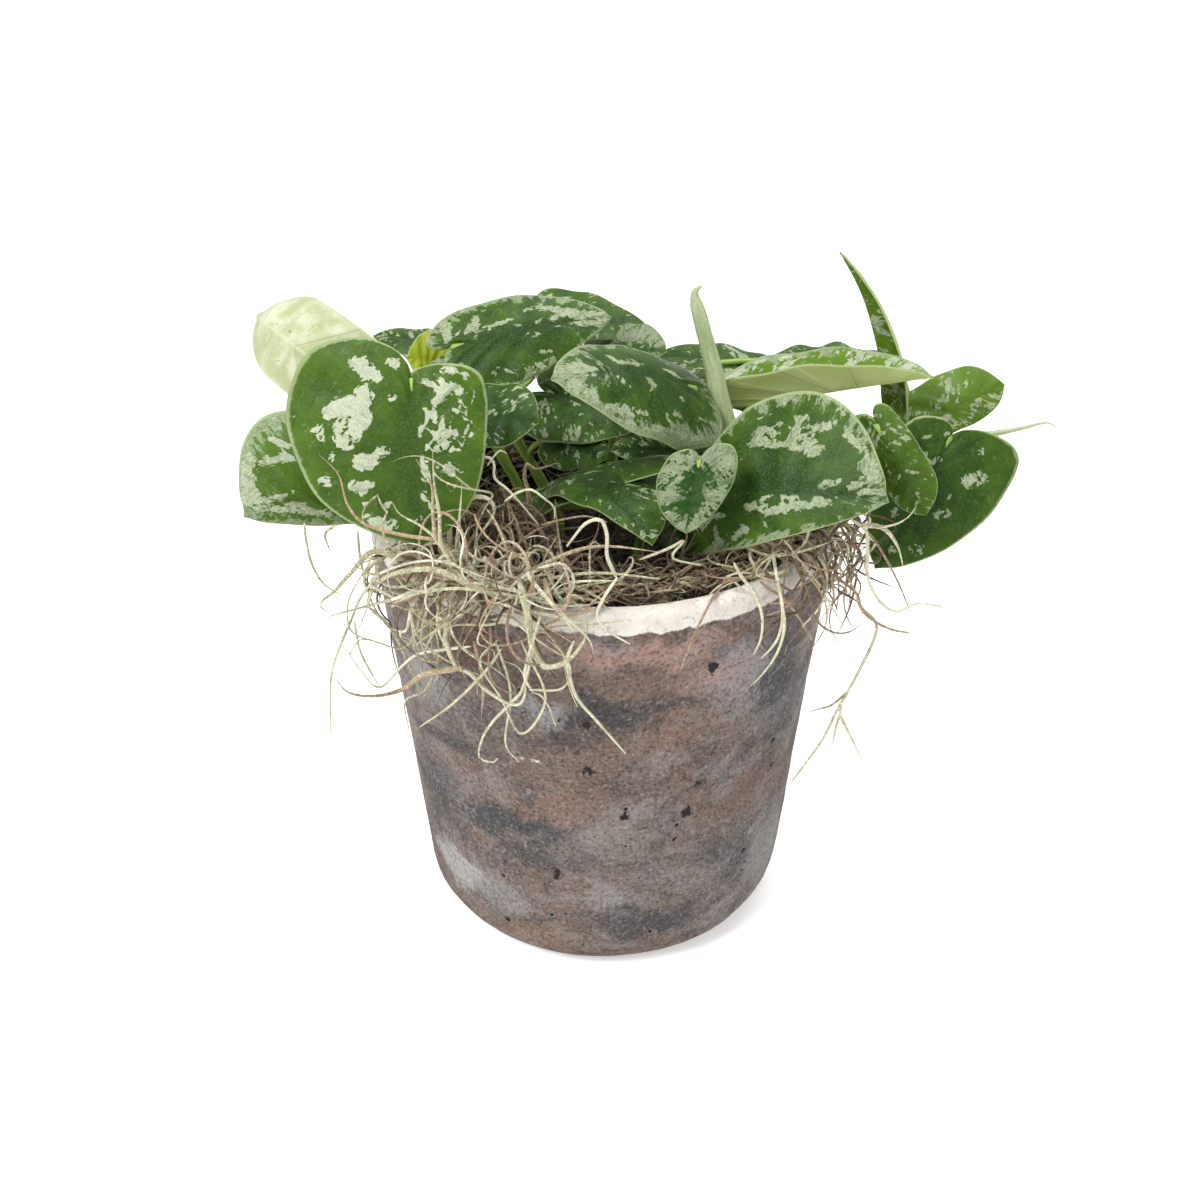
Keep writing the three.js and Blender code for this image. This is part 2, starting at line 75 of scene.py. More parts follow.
surround = bpy.data.worlds.new("white_surround")
surround.use_nodes = True
surround.node_tree.nodes["Background"].inputs["Color"].default_value = (1, 1, 1, 1)
surround.node_tree.nodes["Background"].inputs["Strength"].default_value = 0.62
bpy.context.scene.world = surround

for lamp_name, place, width, power in (
    ("key_softbox", (-0.75, -0.75, 1.25), 0.6, 19),
    ("top_softbox", (0.25, 0.35, 1.4), 0.8, 13),
):
    lamp = new_object(lamp_name, bpy.data.lights.new(lamp_name, "AREA"))
    lamp.data.size = width
    lamp.data.energy = power
    lamp.location = place
    aim = Vector((0, 0, 0.13)) - lamp.location
    lamp.rotation_euler = aim.to_track_quat("-Z", "Y").to_euler()

# ---------------------------------------------------------------------------
# The cover pot: thrown and fired clay about 7.5 mm thick, with a rounded foot,
# scratched and smoked by age, and a cream wash brushed over the lip.
POT_PROFILE = [
    (0, 0), (30, 0), (48, 0), (52, 0.15), (57, 1.3), (61, 4.2), (64, 9), (65.9, 16), (69, 45),
    (72.4, 78), (75.8, 112), (78.4, 137), (79.7, 149), (80, 152.6), (79.4, 155), (77.9, 156.1),
    (75.6, 156.4), (73.6, 155.9), (72.3, 154), (71.9, 150), (70.8, 135), (67.8, 105),
    (64.4, 70), (60.8, 35), (57, 15), (53.5, 10.4), (48, 9), (20, 9), (0, 9),
]


def eased(points, per_span):
    """A smooth line through points of any number of coordinates."""
    line = []
    last = len(points) - 1
    for i in range(last):
        before = points[max(i - 1, 0)]
        after = points[min(i + 2, last)]
        for k in range(per_span):
            t = k / per_span
            line.append(tuple(
                0.5 * (2 * b + (c - a) * t + (2 * a - 5 * b + 4 * c - d) * t * t
                       + (3 * b - a - 3 * c + d) * t ** 3)
                for a, b, c, d in zip(before, points[i], points[i + 1], after)
            ))
    line.append(tuple(points[last]))
    return line


def turned_mesh(name, profile, sides, shape=lambda angle, radius, height: (radius, height)):
    """Turns (radius, height) pairs in mm, from axis to axis, into a closed mesh in metres."""
    corners = []
    faces = []
    for ring in profile[1:-1]:
        for k in range(sides):
            angle = 2 * math.pi * k / sides
            radius, height = shape(angle, *ring)
            x, y = radius * math.cos(angle), radius * math.sin(angle)
            corners.append((x * MM, y * MM, height * MM))
    foot = len(corners)
    top = foot - sides
    corners += [(0, 0, profile[0][1] * MM), (0, 0, profile[-1][1] * MM)]
    around = [(k, (k + 1) % sides) for k in range(sides)]
    for low in range(0, top, sides):
        faces += [(low + k, low + n, low + sides + n, low + sides + k) for k, n in around]
    for k, n in around:
        faces += [(foot, n, k), (foot + 1, top + k, top + n)]
    mesh = bpy.data.meshes.new(name)
    mesh.from_pydata(corners, [], faces)
    return mesh


def thrown(angle, radius, height):
    """The potter's wall: slow waves, lumps, turning rings and a fine tremble, none at the foot."""
    around = Vector((2.2 * math.cos(angle), 2.2 * math.sin(angle), height * 0.02))
    slow = noise.noise(around) * 0.7
    lumps = noise.noise(around * 5.3 + Vector((7, 3, 1))) * 0.22
    rings = 0.09 * math.sin(height * 0.9 + 2.5 * noise.noise(around * 1.3))
    fine = noise.noise(around * 21 + Vector((1, 9, 4))) * 0.10
    at_foot = min(1, max(0, (height - 0.5) / 6))
    return radius + (slow + lumps + rings + fine) * at_foot, height


class Wiring:
    """Short hands for wiring the nodes of one tree."""

    def __init__(self, tree):
        self.tree = tree

    def feed(self, socket, value):
        """Links an output to a socket, or sets a plain value on it."""
        if isinstance(value, bpy.types.NodeSocket):
            self.tree.links.new(value, socket)
        elif isinstance(value, tuple) and len(socket.default_value) == 4:
            socket.default_value = (*value, 1)
        else:
            socket.default_value = value

    def add(self, kind, inputs=(), **settings):
        """Adds a node. inputs is a dict of socket names or numbers, or a row of values."""
        node = self.tree.nodes.new(kind)
        for key, value in settings.items():
            setattr(node, key, value)
        for key, value in inputs.items() if isinstance(inputs, dict) else enumerate(inputs):
            self.feed(node.inputs[key], value)
        return node

    def place(self):
        return self.add("ShaderNodeTexCoord").outputs["Object"]

    def label(self, name, output="Vector"):
        return self.add("ShaderNodeAttribute", attribute_name=name).outputs[output]

    def stretched(self, vector, scale=(1, 1, 1), turn=(0, 0, 0), shift=(0, 0, 0)):
        return self.add("ShaderNodeMapping", {
            "Vector": vector, "Scale": scale, "Rotation": turn, "Location": shift,
        }).outputs["Vector"]

    def cloud(self, vector, scale, detail=4.0, rough=0.55, warp=0.0, output="Fac"):
        return self.add("ShaderNodeTexNoise", {
            "Vector": vector, "Scale": scale, "Detail": detail, "Roughness": rough,
            "Distortion": warp,
        }).outputs[output]

    def cells(self, vector, scale, metric="EUCLIDEAN"):
        return self.add(
            "ShaderNodeTexVoronoi", {"Vector": vector, "Scale": scale}, distance=metric,
        ).outputs

    def between(self, value, low, high, out_low=0.0, out_high=1.0):
        return self.add("ShaderNodeMapRange", {
            "Value": value, "From Min": low, "From Max": high,
            "To Min": out_low, "To Max": out_high,
        }, interpolation_type="SMOOTHSTEP").outputs["Result"]

    def sum(self, kind, *values):
        return self.add("ShaderNodeMath", values, operation=kind).outputs[0]

    def times(self, a, b):
        return self.sum("MULTIPLY", a, b)

    def plus(self, a, b):
        return self.sum("ADD", a, b)

    def far(self, kind, *values):
        """A length or a distance between places."""
        return self.add("ShaderNodeVectorMath", values, operation=kind).outputs["Value"]

    def shaken(self, vector, shake, reach):
        """A place moved by up to reach along each axis by a cloud's three colours."""
        return self.add(
            "ShaderNodeVectorMath", (shake, reach, vector), operation="MULTIPLY_ADD",
        ).outputs["Vector"]

    def blend(self, mask, a, b, kind="MIX"):
        return self.add(
            "ShaderNodeMix", {0: mask, 6: a, 7: b}, data_type="RGBA", blend_type=kind,
        ).outputs[2]

    def coats(self, colour, *coats):
        """Lays coats over a colour, each a mask and the coat's own colour."""
        for mask, coat in coats:
            colour = self.blend(mask, colour, coat)
        return colour

    def split(self, vector):
        return self.add("ShaderNodeSeparateXYZ", (vector,)).outputs

    def compose(self, x, y, z):
        return self.add("ShaderNodeCombineXYZ", (x, y, z)).outputs[0]

    def relief(self, *layers):
        """Bumps on one another, each a height, its depth in metres and its strength."""
        bump = None
        for height, depth, strength in layers:
            over = {"Normal": bump.outputs["Normal"]} if bump else {}
            bump = self.add("ShaderNodeBump", {
                "Height": height, "Distance": depth, "Strength": strength, **over,
            })
        return bump.outputs["Normal"]

    def ramp(self, value, stops):
        node = self.add("ShaderNodeValToRGB", (value,))
        line = node.color_ramp
        for i, (place, colour) in enumerate(stops):
            stop = line.elements[i] if i < 2 else line.elements.new(place)
            stop.position = place
            stop.color = (*colour, 1)
        return node.outputs["Color"]

    def use(self, effect, **values):
        """Places an effect and gives its inputs, spaces in their names written as _."""
        inputs = {name.replace("_", " "): value for name, value in values.items()}
        return self.add("ShaderNodeGroup", inputs, node_tree=effect.tree).outputs


class Effect(Wiring):
    """A named node group: an effect that several finishes share, or a way to grow a mesh."""

    def __init__(self, name, inputs, outputs, kind="ShaderNodeTree"):
        super().__init__(bpy.data.node_groups.new(name, kind))
        for in_out, sockets in (("INPUT", inputs), ("OUTPUT", outputs)):
            for label, sort in sockets:
                sort = "NodeSocket" + sort
                self.tree.interface.new_socket(label, in_out=in_out, socket_type=sort)
        self.given = self.add("NodeGroupInput").outputs
        self.made = self.add("NodeGroupOutput").inputs

    def give(self, **values):
        for name, value in values.items():
            self.feed(self.made[name.replace("_", " ")], value)


class Finish(Wiring):
    """One material with its shader."""

    def __init__(self, name, roughness, specular=0.5):
        self.material = bpy.data.materials.new(name)
        self.material.use_nodes = True
        super().__init__(self.material.node_tree)
        self.shader = self.tree.nodes["Principled BSDF"].inputs
        self.shader["Roughness"].default_value = roughness
        self.shader["Specular IOR Level"].default_value = specular

    def wear(self, colour, normal, roughness=None):
        self.feed(self.shader["Base Color"], colour)
        self.feed(self.shader["Normal"], normal)
        if roughness is not None:
            self.feed(self.shader["Roughness"], roughness)
        return self.material


# Grit: fine dark and light grain in any raw earthy surface, and its relief.
grit = Effect(
    "earthy_grit",
    (("Place", "Vector"), ("Colour", "Color"), ("Fineness", "Float"), ("Strength", "Float")),
    (("Colour", "Color"), ("Height", "Float")),
)
plain, strength = grit.given["Colour"], grit.given["Strength"]
grit_place = grit.add("ShaderNodeVectorMath", {
    0: grit.given["Place"], "Scale": grit.given["Fineness"],
}, operation="SCALE").outputs[0]
grain = grit.cloud(grit_place, 1.0, 5, 0.72)
coarse_grain = grit.cloud(grit.stretched(grit_place, (0.3, 0.3, 0.3)), 1.0, 3, 0.7)
dark_grain = grit.times(grit.between(grain, 0.50, 0.36), strength)
light_grain = grit.times(grit.times(grit.between(grain, 0.54, 0.70), strength), 0.55)
grit.give(
    Colour=grit.coats(
        plain,
        (dark_grain, grit.blend(0.85, plain, (0.09, 0.08, 0.08), "MULTIPLY")),
        (light_grain, (0.52, 0.48, 0.46)),
    ),
    Height=grit.sum("MULTIPLY_ADD", coarse_grain, 0.8, grain),
)

# Stains: place in mm, spread in mm, slant of the smear, strength and colour.
CLAY_STAINS = (
    ((2, -77, 119), (17, 12, 7), 0.5, 0.85, (0.045, 0.045, 0.048)),
    ((-12, -74, 107), (14, 12, 5), 0.5, 0.6, (0.055, 0.053, 0.055)),
    ((57, -52, 118), (9, 16, 17), -0.5, 0.9, (0.060, 0.064, 0.070)),
    ((62, -40, 96), (9, 14, 16), -0.4, 0.7, (0.085, 0.088, 0.092)),
    ((-36, -61, 64), (24, 14, 7), 0.55, 0.9, (0.058, 0.058, 0.062)),
    ((-56, -38, 62), (12, 14, 16), 0.2, 0.75, (0.060, 0.060, 0.066)),
    ((-20, -66, 52), (20, 12, 4), 0.5, 0.6, (0.060, 0.058, 0.060)),
    ((16, -65, 24), (17, 12, 7), 0.2, 0.8, (0.060, 0.058, 0.060)),
    ((46, -48, 45), (10, 12, 11), -0.3, 0.6, (0.080, 0.078, 0.080)),
    ((-46, -55, 108), (12, 14, 8), 0.3, 0.3, (0.070, 0.068, 0.070)),
    ((-30, -72, 141), (24, 14, 5), 0.05, 0.5, (0.24, 0.145, 0.115)),
    ((-62, -48, 134), (12, 14, 12), 0.1, 0.6, (0.23, 0.175, 0.150)),
    ((-21, -74, 118), (9, 12, 6), 0.3, 0.7, (0.30, 0.295, 0.30)),
    ((-57, -48, 116), (9, 14, 12), 0.2, 0.8, (0.30, 0.285, 0.275)),
    ((-50, -44, 30), (14, 14, 9), 0.6, 0.85, (0.38, 0.370, 0.355)),
    ((-34, -58, 28), (12, 12, 6), 0.6, 0.5, (0.27, 0.255, 0.245)),
    ((0, -68, 37), (10, 12, 7), 0.2, 0.6, (0.28, 0.27, 0.265)),
    ((43, -64, 127), (12, 12, 12), -0.5, 0.75, (0.31, 0.285, 0.29)),
    ((58, -34, 32), (10, 14, 20), -0.1, 0.65, (0.25, 0.255, 0.24)),
    ((14, -78, 142), (28, 12, 5), 0.05, 0.75, (0.36, 0.225, 0.185)),
    ((32, -70, 128), (12, 12, 7), -0.3, 0.55, (0.35, 0.225, 0.185)),
    ((26, -70, 108), (16, 12, 8), -0.3, 0.4, (0.25, 0.150, 0.115)),
    ((-25, -61, 14), (20, 12, 6), 0.3, 0.6, (0.25, 0.165, 0.120)),
    ((-12, -72, 78), (14, 12, 9), 0.4, 0.5, (0.22, 0.140, 0.110)),
    ((60, 40, 110), (22, 22, 14), 0.4, 0.8, (0.060, 0.058, 0.060)),
    ((-20, 74, 90), (26, 16, 12), -0.4, 0.8, (0.065, 0.060, 0.062)),
    ((-70, 20, 70), (16, 22, 18), 0.3, 0.7, (0.30, 0.285, 0.275)),
    ((30, 66, 50), (22, 16, 14), 0.5, 0.7, (0.29, 0.280, 0.270)),
    ((10, 76, 132), (26, 14, 8), 0.0, 0.7, (0.29, 0.145, 0.105)),
)
# Chips where lumps of lime burst out of the wall: place in mm and reach in mm.
CLAY_CHIPS = (
    ((-5, -74, 94), 4.6), ((8, -74, 96), 3.6), ((31, -66, 84), 2.6), ((7, -72, 75), 3.8),
    ((28, -66, 72), 4.6), ((34, -70, 132), 4.2), ((-15, -67, 47), 4.4), ((24, -66, 61), 2.2),
    ((-5, -76, 114), 3.0), ((18, -73, 92), 2.0), ((-58, -42, 80), 2.6), ((40, 62, 96), 4.4),
    ((-30, 68, 62), 4.0), ((72, 10, 88), 4.0), ((-66, 20, 108), 3.4),
)
STAIN_UNREST = 36
clay = Finish("aged_fired_clay", 0.88, 0.25)
spot = clay.place()
clay_x, _, clay_z = clay.split(spot)
unrest = clay.cloud(spot, 70, 6, 0.68, 0, "Color")
ragged_spot = clay.shaken(spot, unrest, (STAIN_UNREST * MM,) * 3)
drift = clay.cloud(spot, 24, 6, 0.64, 0.6)
mottle = clay.cloud(clay.stretched(spot, (1, 1, 1), (0.3, 0.7, 0), (3, 1, 2)), 75, 7, 0.7, 0.3)
# Smoke stains run in slanting smears.
smears = clay.stretched(spot, (1.0, 1.0, 2.2), (0.0, 0.55, 0.0), (0.4, 2.3, 1.1))
smears = clay.cloud(smears, 34, 7, 0.66, 0.7)
body = clay.coats(
    clay.blend(clay.between(drift, 0.38, 0.62), (0.165, 0.112, 0.090), (0.200, 0.168, 0.152)),
    (clay.between(mottle, 0.44, 0.62, 0, 0.8), (0.098, 0.078, 0.070)),
    (clay.between(smears, 0.53, 0.66, 0, 0.8), (0.052, 0.050, 0.052)),
)
for middle, spread, slant, strength, colour in CLAY_STAINS:
    moved = clay.stretched(ragged_spot, shift=tuple((-c - STAIN_UNREST / 2) * MM for c in middle))
    spread = clay.stretched(moved, tuple(1 / (reach * MM) for reach in spread), (0, slant, 0))
    stain = clay.between(clay.far("LENGTH", spread), 1.5, 0.55, 0, strength)
    body = clay.blend(stain, body, colour)
# A thin pale bloom hazes the surface, most on the right-hand side.
bloom = clay.stretched(spot, (1, 1, 1.8), (0, -0.5, 0.2), (7, 7, 7))
bloom = clay.between(clay.cloud(bloom, 38, 8, 0.72, 0.5), 0.47, 0.68)
bloom = clay.times(bloom, clay.between(clay_x, -0.04, 0.07, 0.30, 0.7))
# Long scratches left by a wire brush, most of them dark.
scratches = clay.cloud(clay.stretched(spot, (2.2, 2.2, 30), (0, 0.5, 0), (2, 5, 3)), 26, 5, 0.75)
fine_clay = clay.use(grit, Place=spot, Fineness=780.0, Strength=0.75, Colour=clay.coats(
    body,
    (bloom, (0.29, 0.275, 0.268)),
    (clay.between(scratches, 0.58, 0.68, 0, 0.4), (0.060, 0.052, 0.050)),
))
pits = clay.cells(clay.stretched(spot, shift=(1.3, 4.1, 2.2)), 120)
pit_here = clay.between(clay.split(pits["Color"])[0], 0.86, 0.88)
pit_level = clay.times(clay.between(pits["Distance"], 0.22, 0.10), pit_here)
crumble = clay.cloud(spot, 300, 4, 0.75)
for middle, reach in CLAY_CHIPS:
    away = clay.far("DISTANCE", spot, tuple(c * MM for c in middle))
    near = clay.between(away, reach * MM, 0.0, 0.0, 0.30)
    pit_level = clay.sum("MAXIMUM", pit_level, clay.between(clay.plus(crumble, near), 0.66, 0.70))
# One pale scrape at the front.
scrape = clay.stretched(spot, shift=(0.024, 0.070, -0.096))
scrape = clay.far("LENGTH", clay.stretched(scrape, (150, 90, 1200), (0, -0.15, 0)))
scrape = clay.times(clay.between(scrape, 1.0, 0.5), clay.between(crumble, 0.40, 0.55))
# The cream wash ends in a ragged brushed edge just below the lip.
brush = clay.cloud(clay.stretched(spot, (1, 1, 0.5)), 95, 5, 0.65)
edge_height = clay.sum("MULTIPLY_ADD", brush, -0.0075, 0.1535)
wash = clay.between(clay.sum("SUBTRACT", clay_z, edge_height), -0.0003, 0.0006)
worn = clay.between(clay.cloud(spot, 330, 6, 0.75), 0.52, 0.68, 1.0, 0.45)
yellowed = clay.between(clay.cloud(spot, 70, 4, 0.6), 0.4, 0.65)
aged_clay = clay.wear(
    clay.coats(
        fine_clay["Colour"],
        (clay.times(clay.between(pit_level, 0.02, 0.45), 0.6), (0.50, 0.46, 0.43)),
        (clay.between(pit_level, 0.45, 0.9), (0.018, 0.013, 0.012)),
        (scrape, (0.62, 0.62, 0.64)),
        (clay.times(wash, worn), clay.blend(yellowed, (0.76, 0.72, 0.66), (0.62, 0.56, 0.49))),
    ),
    clay.relief(
        (fine_clay["Height"], 0.0011, 0.7),
        (clay.cloud(spot, 90, 4, 0.6), 0.0022, 0.35),
        (clay.times(pit_level, -1.0), 0.0018, 0.9),
    ),
    clay.between(smears, 0.4, 0.7, 0.92, 0.78),
)

cover_pot = new_object(
    "clay_cover_pot", turned_mesh("clay_cover_pot", eased(POT_PROFILE, 4), 192, thrown), aged_clay,
)
cover_pot.data.shade_smooth()
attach(cover_pot, "root")
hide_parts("cover_pot")

# ---------------------------------------------------------------------------
# The nursery pot: a thin black moulded cup with a rolled lip, dropped into the
# clay pot and standing on its floor.
CUP_PROFILE = [
    (0, 9.3), (46.5, 9.3), (48, 10.2), (69.1, 146.6), (69.4, 147.2), (70.8, 147.2), (71.1, 148),
    (71.1, 151.2), (70.7, 152.1), (69.6, 152.3), (68.9, 151.6), (68.5, 149.5), (68.0, 147),
    (57.6, 80), (47.2, 12.4), (46.4, 10.6), (0, 10.5),
]
black = Finish("black_moulded_plastic", 0.42)
mould_place = black.place()
scuffs = black.cloud(black.stretched(mould_place, (1, 1, 0.2)), 160, 5, 0.7)
dust = black.between(black.cloud(mould_place, 75, 4, 0.6), 0.5, 0.75, 0, 0.5)
black_plastic = black.wear(
    black.blend(dust, (0.012, 0.012, 0.013), (0.06, 0.05, 0.042)),
    black.relief((scuffs, 0.0002, 0.4)),
    black.between(scuffs, 0.3, 0.7, 0.34, 0.62),
)
nursery_pot = new_object(
    "black_nursery_pot", turned_mesh("black_nursery_pot", CUP_PROFILE, 160), black_plastic,
)
nursery_pot.data.shade_smooth()
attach(nursery_pot, "root")
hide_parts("nursery_pot")

# ---------------------------------------------------------------------------
# The soil: dark damp potting mix, heaped a little and crumbly, filling the
# nursery pot to a finger's breadth below its lip.
SOIL_TOP = 139
SOIL_RINGS = 26
CRUMB_LEVEL = 136.5


def heaped(angle, radius, height):
    """The top of the soil is uneven, and its sides follow the cup."""
    if height == SOIL_TOP:
        here = Vector((radius * math.cos(angle) * 0.09, radius * math.sin(angle) * 0.09, 0.4))
        height = SOIL_TOP + 1.4 * noise.noise(here) + 0.8 * noise.noise(here * 3.1)
    return radius, height


soil_profile = [(0, 10.9), (46.0, 10.9), (65.6, 130.0)]
soil_profile += [(66.3 * (1 - i / SOIL_RINGS), SOIL_TOP) for i in range(SOIL_RINGS)]
soil_profile += [heaped(0, 0, SOIL_TOP)]

mix = Finish("damp_potting_mix", 0.95, 0.2)
mix_place = mix.place()
damp = mix.between(mix.cloud(mix_place, 160, 3, 0.6), 0.4, 0.65)
mix_colour = mix.blend(damp, (0.012, 0.008, 0.006), (0.034, 0.023, 0.016))
crumbly = mix.use(grit, Place=mix_place, Colour=mix_colour, Fineness=520.0, Strength=0.35)
damp_mix = mix.wear(crumbly["Colour"], mix.relief((crumbly["Height"], 0.0015, 0.7)))
soil = new_object("potting_soil", turned_mesh("potting_soil", soil_profile, 96, heaped), damp_mix)


def crumb_tree(material):
    """Scatters small angular crumbs over the top of the soil."""
    grow = Effect(
        "soil_crumbs",
        (("Soil", "Geometry"), ("Crumbs per m2", "Float"), ("Crumb radius", "Float")),
        (("Soil", "Geometry"),), "GeometryNodeTree",
    )
    place = grow.add("GeometryNodeInputPosition").outputs[0]
    level = grow.split(place)[2]
    high = grow.add("FunctionNodeCompare", {"A": level, "B": CRUMB_LEVEL * MM}).outputs[0]
    spots = grow.add("GeometryNodeDistributePointsOnFaces", {
        "Mesh": grow.given["Soil"], "Selection": high, "Density": grow.given["Crumbs per m2"],
        "Seed": 5,
    }).outputs["Points"]
    crumb = grow.add("GeometryNodeMeshIcoSphere", {
        "Radius": grow.given["Crumb radius"], "Subdivisions": 1,
    }).outputs["Mesh"]
    size, spin = (
        grow.add(
            "FunctionNodeRandomValue", {0: low, 1: high, "Seed": seed}, data_type="FLOAT_VECTOR",
        ).outputs[0]
        for low, high, seed in (
            ((0.35, 0.35, 0.3), (1.5, 1.2, 1.0), 8), ((0, 0, 0), (6.28, 6.28, 6.28), 9),
        )
    )
    copies = grow.add("GeometryNodeInstanceOnPoints", {
        "Points": spots, "Instance": crumb, "Rotation": spin, "Scale": size,
    }).outputs["Instances"]
    real = grow.add("GeometryNodeRealizeInstances", (copies,)).outputs["Geometry"]
    both = grow.add("GeometryNodeJoinGeometry", (grow.given["Soil"],))
    grow.feed(both.inputs[0], real)
    paint = grow.add("GeometryNodeSetMaterial", {"Geometry": both.outputs[0], "Material": material})
    grow.give(Soil=paint.outputs["Geometry"])
    return grow.tree


def settle(piece, tree, sizes):
    """Turns what a node tree makes of a piece into the piece's own plain mesh."""
    modifier = piece.modifiers.new("grow", "NODES")
    modifier.node_group = tree
    for item in tree.interface.items_tree:
        if item.in_out == "INPUT" and item.name in sizes:
            modifier[item.identifier] = sizes[item.name]
    grown = piece.evaluated_get(bpy.context.evaluated_depsgraph_get())
    mesh = bpy.data.meshes.new_from_object(grown)
    mesh.name = piece.name
    piece.modifiers.remove(modifier)
    piece.data = mesh


settle(soil, crumb_tree(damp_mix), {"Crumbs per m2": 160000.0, "Crumb radius": 0.0011})
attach(soil, "root")
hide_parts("soil")

# ---------------------------------------------------------------------------
# The leaves: heart-shaped, slightly fleshy blades, dark satin green with silver
# blotches between the side veins, a thin pale margin and a pale underside.
# Each is a sheet laid out along its midrib and then folded, cupped and arched.
HALF_OUTLINE = [
    (0, 0), (0.035, -0.08), (0.16, -0.165), (0.42, -0.215), (0.80, -0.15), (1.0, 0.10),
    (0.95, 0.40), (0.70, 0.68), (0.31, 0.90), (0.07, 0.975), (0, 1.0),
]
BLADE_THICKNESS = 0.6
BLADE_ROWS = 65
BLADE_COLUMNS = 13
VEIN_PAIRS = 8
STEM_FOOT = 113.3
UPPER_FACE, UNDERSIDE, STALK, ROLLED = range(4)


def heart_leaf(leaves_vine, base, tip, face, width, **ways):
    """A leaf: where on its vine it starts, its midrib's ends and width in mm, and its own ways.

    bend, fold and cup are in degrees; silver, yellow, pale and haze colour it, a yellow below zero
    darkening the leaf as painted shade and haze laying a painted sheen over its edge and tip;
    islands are listed silver bands, each from x, y to x, y with half its width, in mm from the
    base.
    """
    plain = {
        "bend": 25, "fold": (8, 8), "cup": (-25, -25), "skew": 0, "shear": 0, "taper": 0,
        "blunt": 0, "lobe": (1, 1), "wave": 0.7, "rise": 0.6, "lift": 0.4, "silver": 0.55,
        "yellow": 0.0, "pale": 0.0, "haze": 0, "islands": (),
    }
    return {
        "from": leaves_vine, "base": Vector(base), "tip": Vector(tip), "face": Vector(face),
        "width": width, **plain, **ways,
    }


def leaf_axes(leaf):
    chord = leaf["tip"] - leaf["base"]
    along = chord.normalized()
    up = (leaf["face"] - along * leaf["face"].dot(along)).normalized()
    return along, up, along.cross(up), chord.length


def half_width(leaf, right):
    return leaf["width"] / 2 * (1 + leaf["skew"] * (1 if right else -1))


def leaf_point(leaf, axes, s, x, raised=0.0):
    """A point in mm: s along the midrib, x flat across it, raised above the blade."""
    along, up, across, length = axes
    side = 0 if x < 0 else 1
    half = half_width(leaf, side)
    fold = math.radians(leaf["fold"][side])
    cup = math.radians(leaf["cup"][side])
    reach = abs(x)
    out = 0
    lift = 0
    for i in range(8):
        turn = fold + cup * (i + 0.5) / 8 * reach / half
        out += math.cos(turn) * reach / 8
        lift += math.sin(turn) * reach / 8
    edge_turn = fold + cup * reach / half
    if not side:
        out = -out
    wave = leaf["wave"] * (reach / half) ** 2
    lift += wave * math.sin(2 * math.pi * 2.3 * s + leaf["seed"] + side * 1.3)
    soft = min(1, reach / 2.5)
    out -= raised * math.sin(edge_turn) * soft * (1 if side else -1)
    lift += raised * (math.cos(edge_turn) if soft >= 1 else 1)
    bend = math.radians(leaf["bend"])
    radius = length / (2 * math.sin(bend / 2))
    lean = bend / 2 - bend * s
    run = radius * (math.sin(bend / 2) - math.sin(lean)) - math.sin(lean) * lift
    rise = math.cos(lean) * lift - radius * (math.cos(bend / 2) - math.cos(lean))
    return leaf["base"] + along * run + up * rise + across * out


class Growth:
    """Collects the points, faces and surface values of one leafy stem."""

    def __init__(self):
        self.points = []
        self.faces = []
        self.slots = []
        self.labels = {"blade": [], "tone": [], "plot": [], "islands": []}

    def point(self, place, blade, tone, plot=(0, 0, 0), islands=(-4, 0, 0)):
        self.points.append(place)
        for values, value in zip(self.labels.values(), (blade, tone, plot, islands)):
            values.append(value)
        return len(self.points) - 1

    def face(self, corners, slot):
        self.faces.append(corners)
        self.slots.append(slot)

    def mesh(self, name):
        mesh = bpy.data.meshes.new(name)
        mesh.from_pydata([p * MM for p in self.points], [], self.faces)
        mesh.polygons.foreach_set("material_index", self.slots)
        mesh.shade_smooth()
        for label, values in self.labels.items():
            layer = mesh.attributes.new(label, "FLOAT_VECTOR", "POINT")
            layer.data.foreach_set("vector", [c for value in values for c in value])
        return mesh


def island_depth(leaf, x, y):
    """How far in mm a spot lies inside the leaf's listed silver bands."""
    depth = -4
    for x1, y1, x2, y2, half in leaf["islands"]:
        dx = x2 - x1
        dy = y2 - y1
        t = ((x - x1) * dx + (y - y1) * dy) / max(dx * dx + dy * dy, 1)
        t = min(max(t, 0), 1)
        depth = max(depth, half - math.hypot(x - x1 - t * dx, y - y1 - t * dy))
    return depth


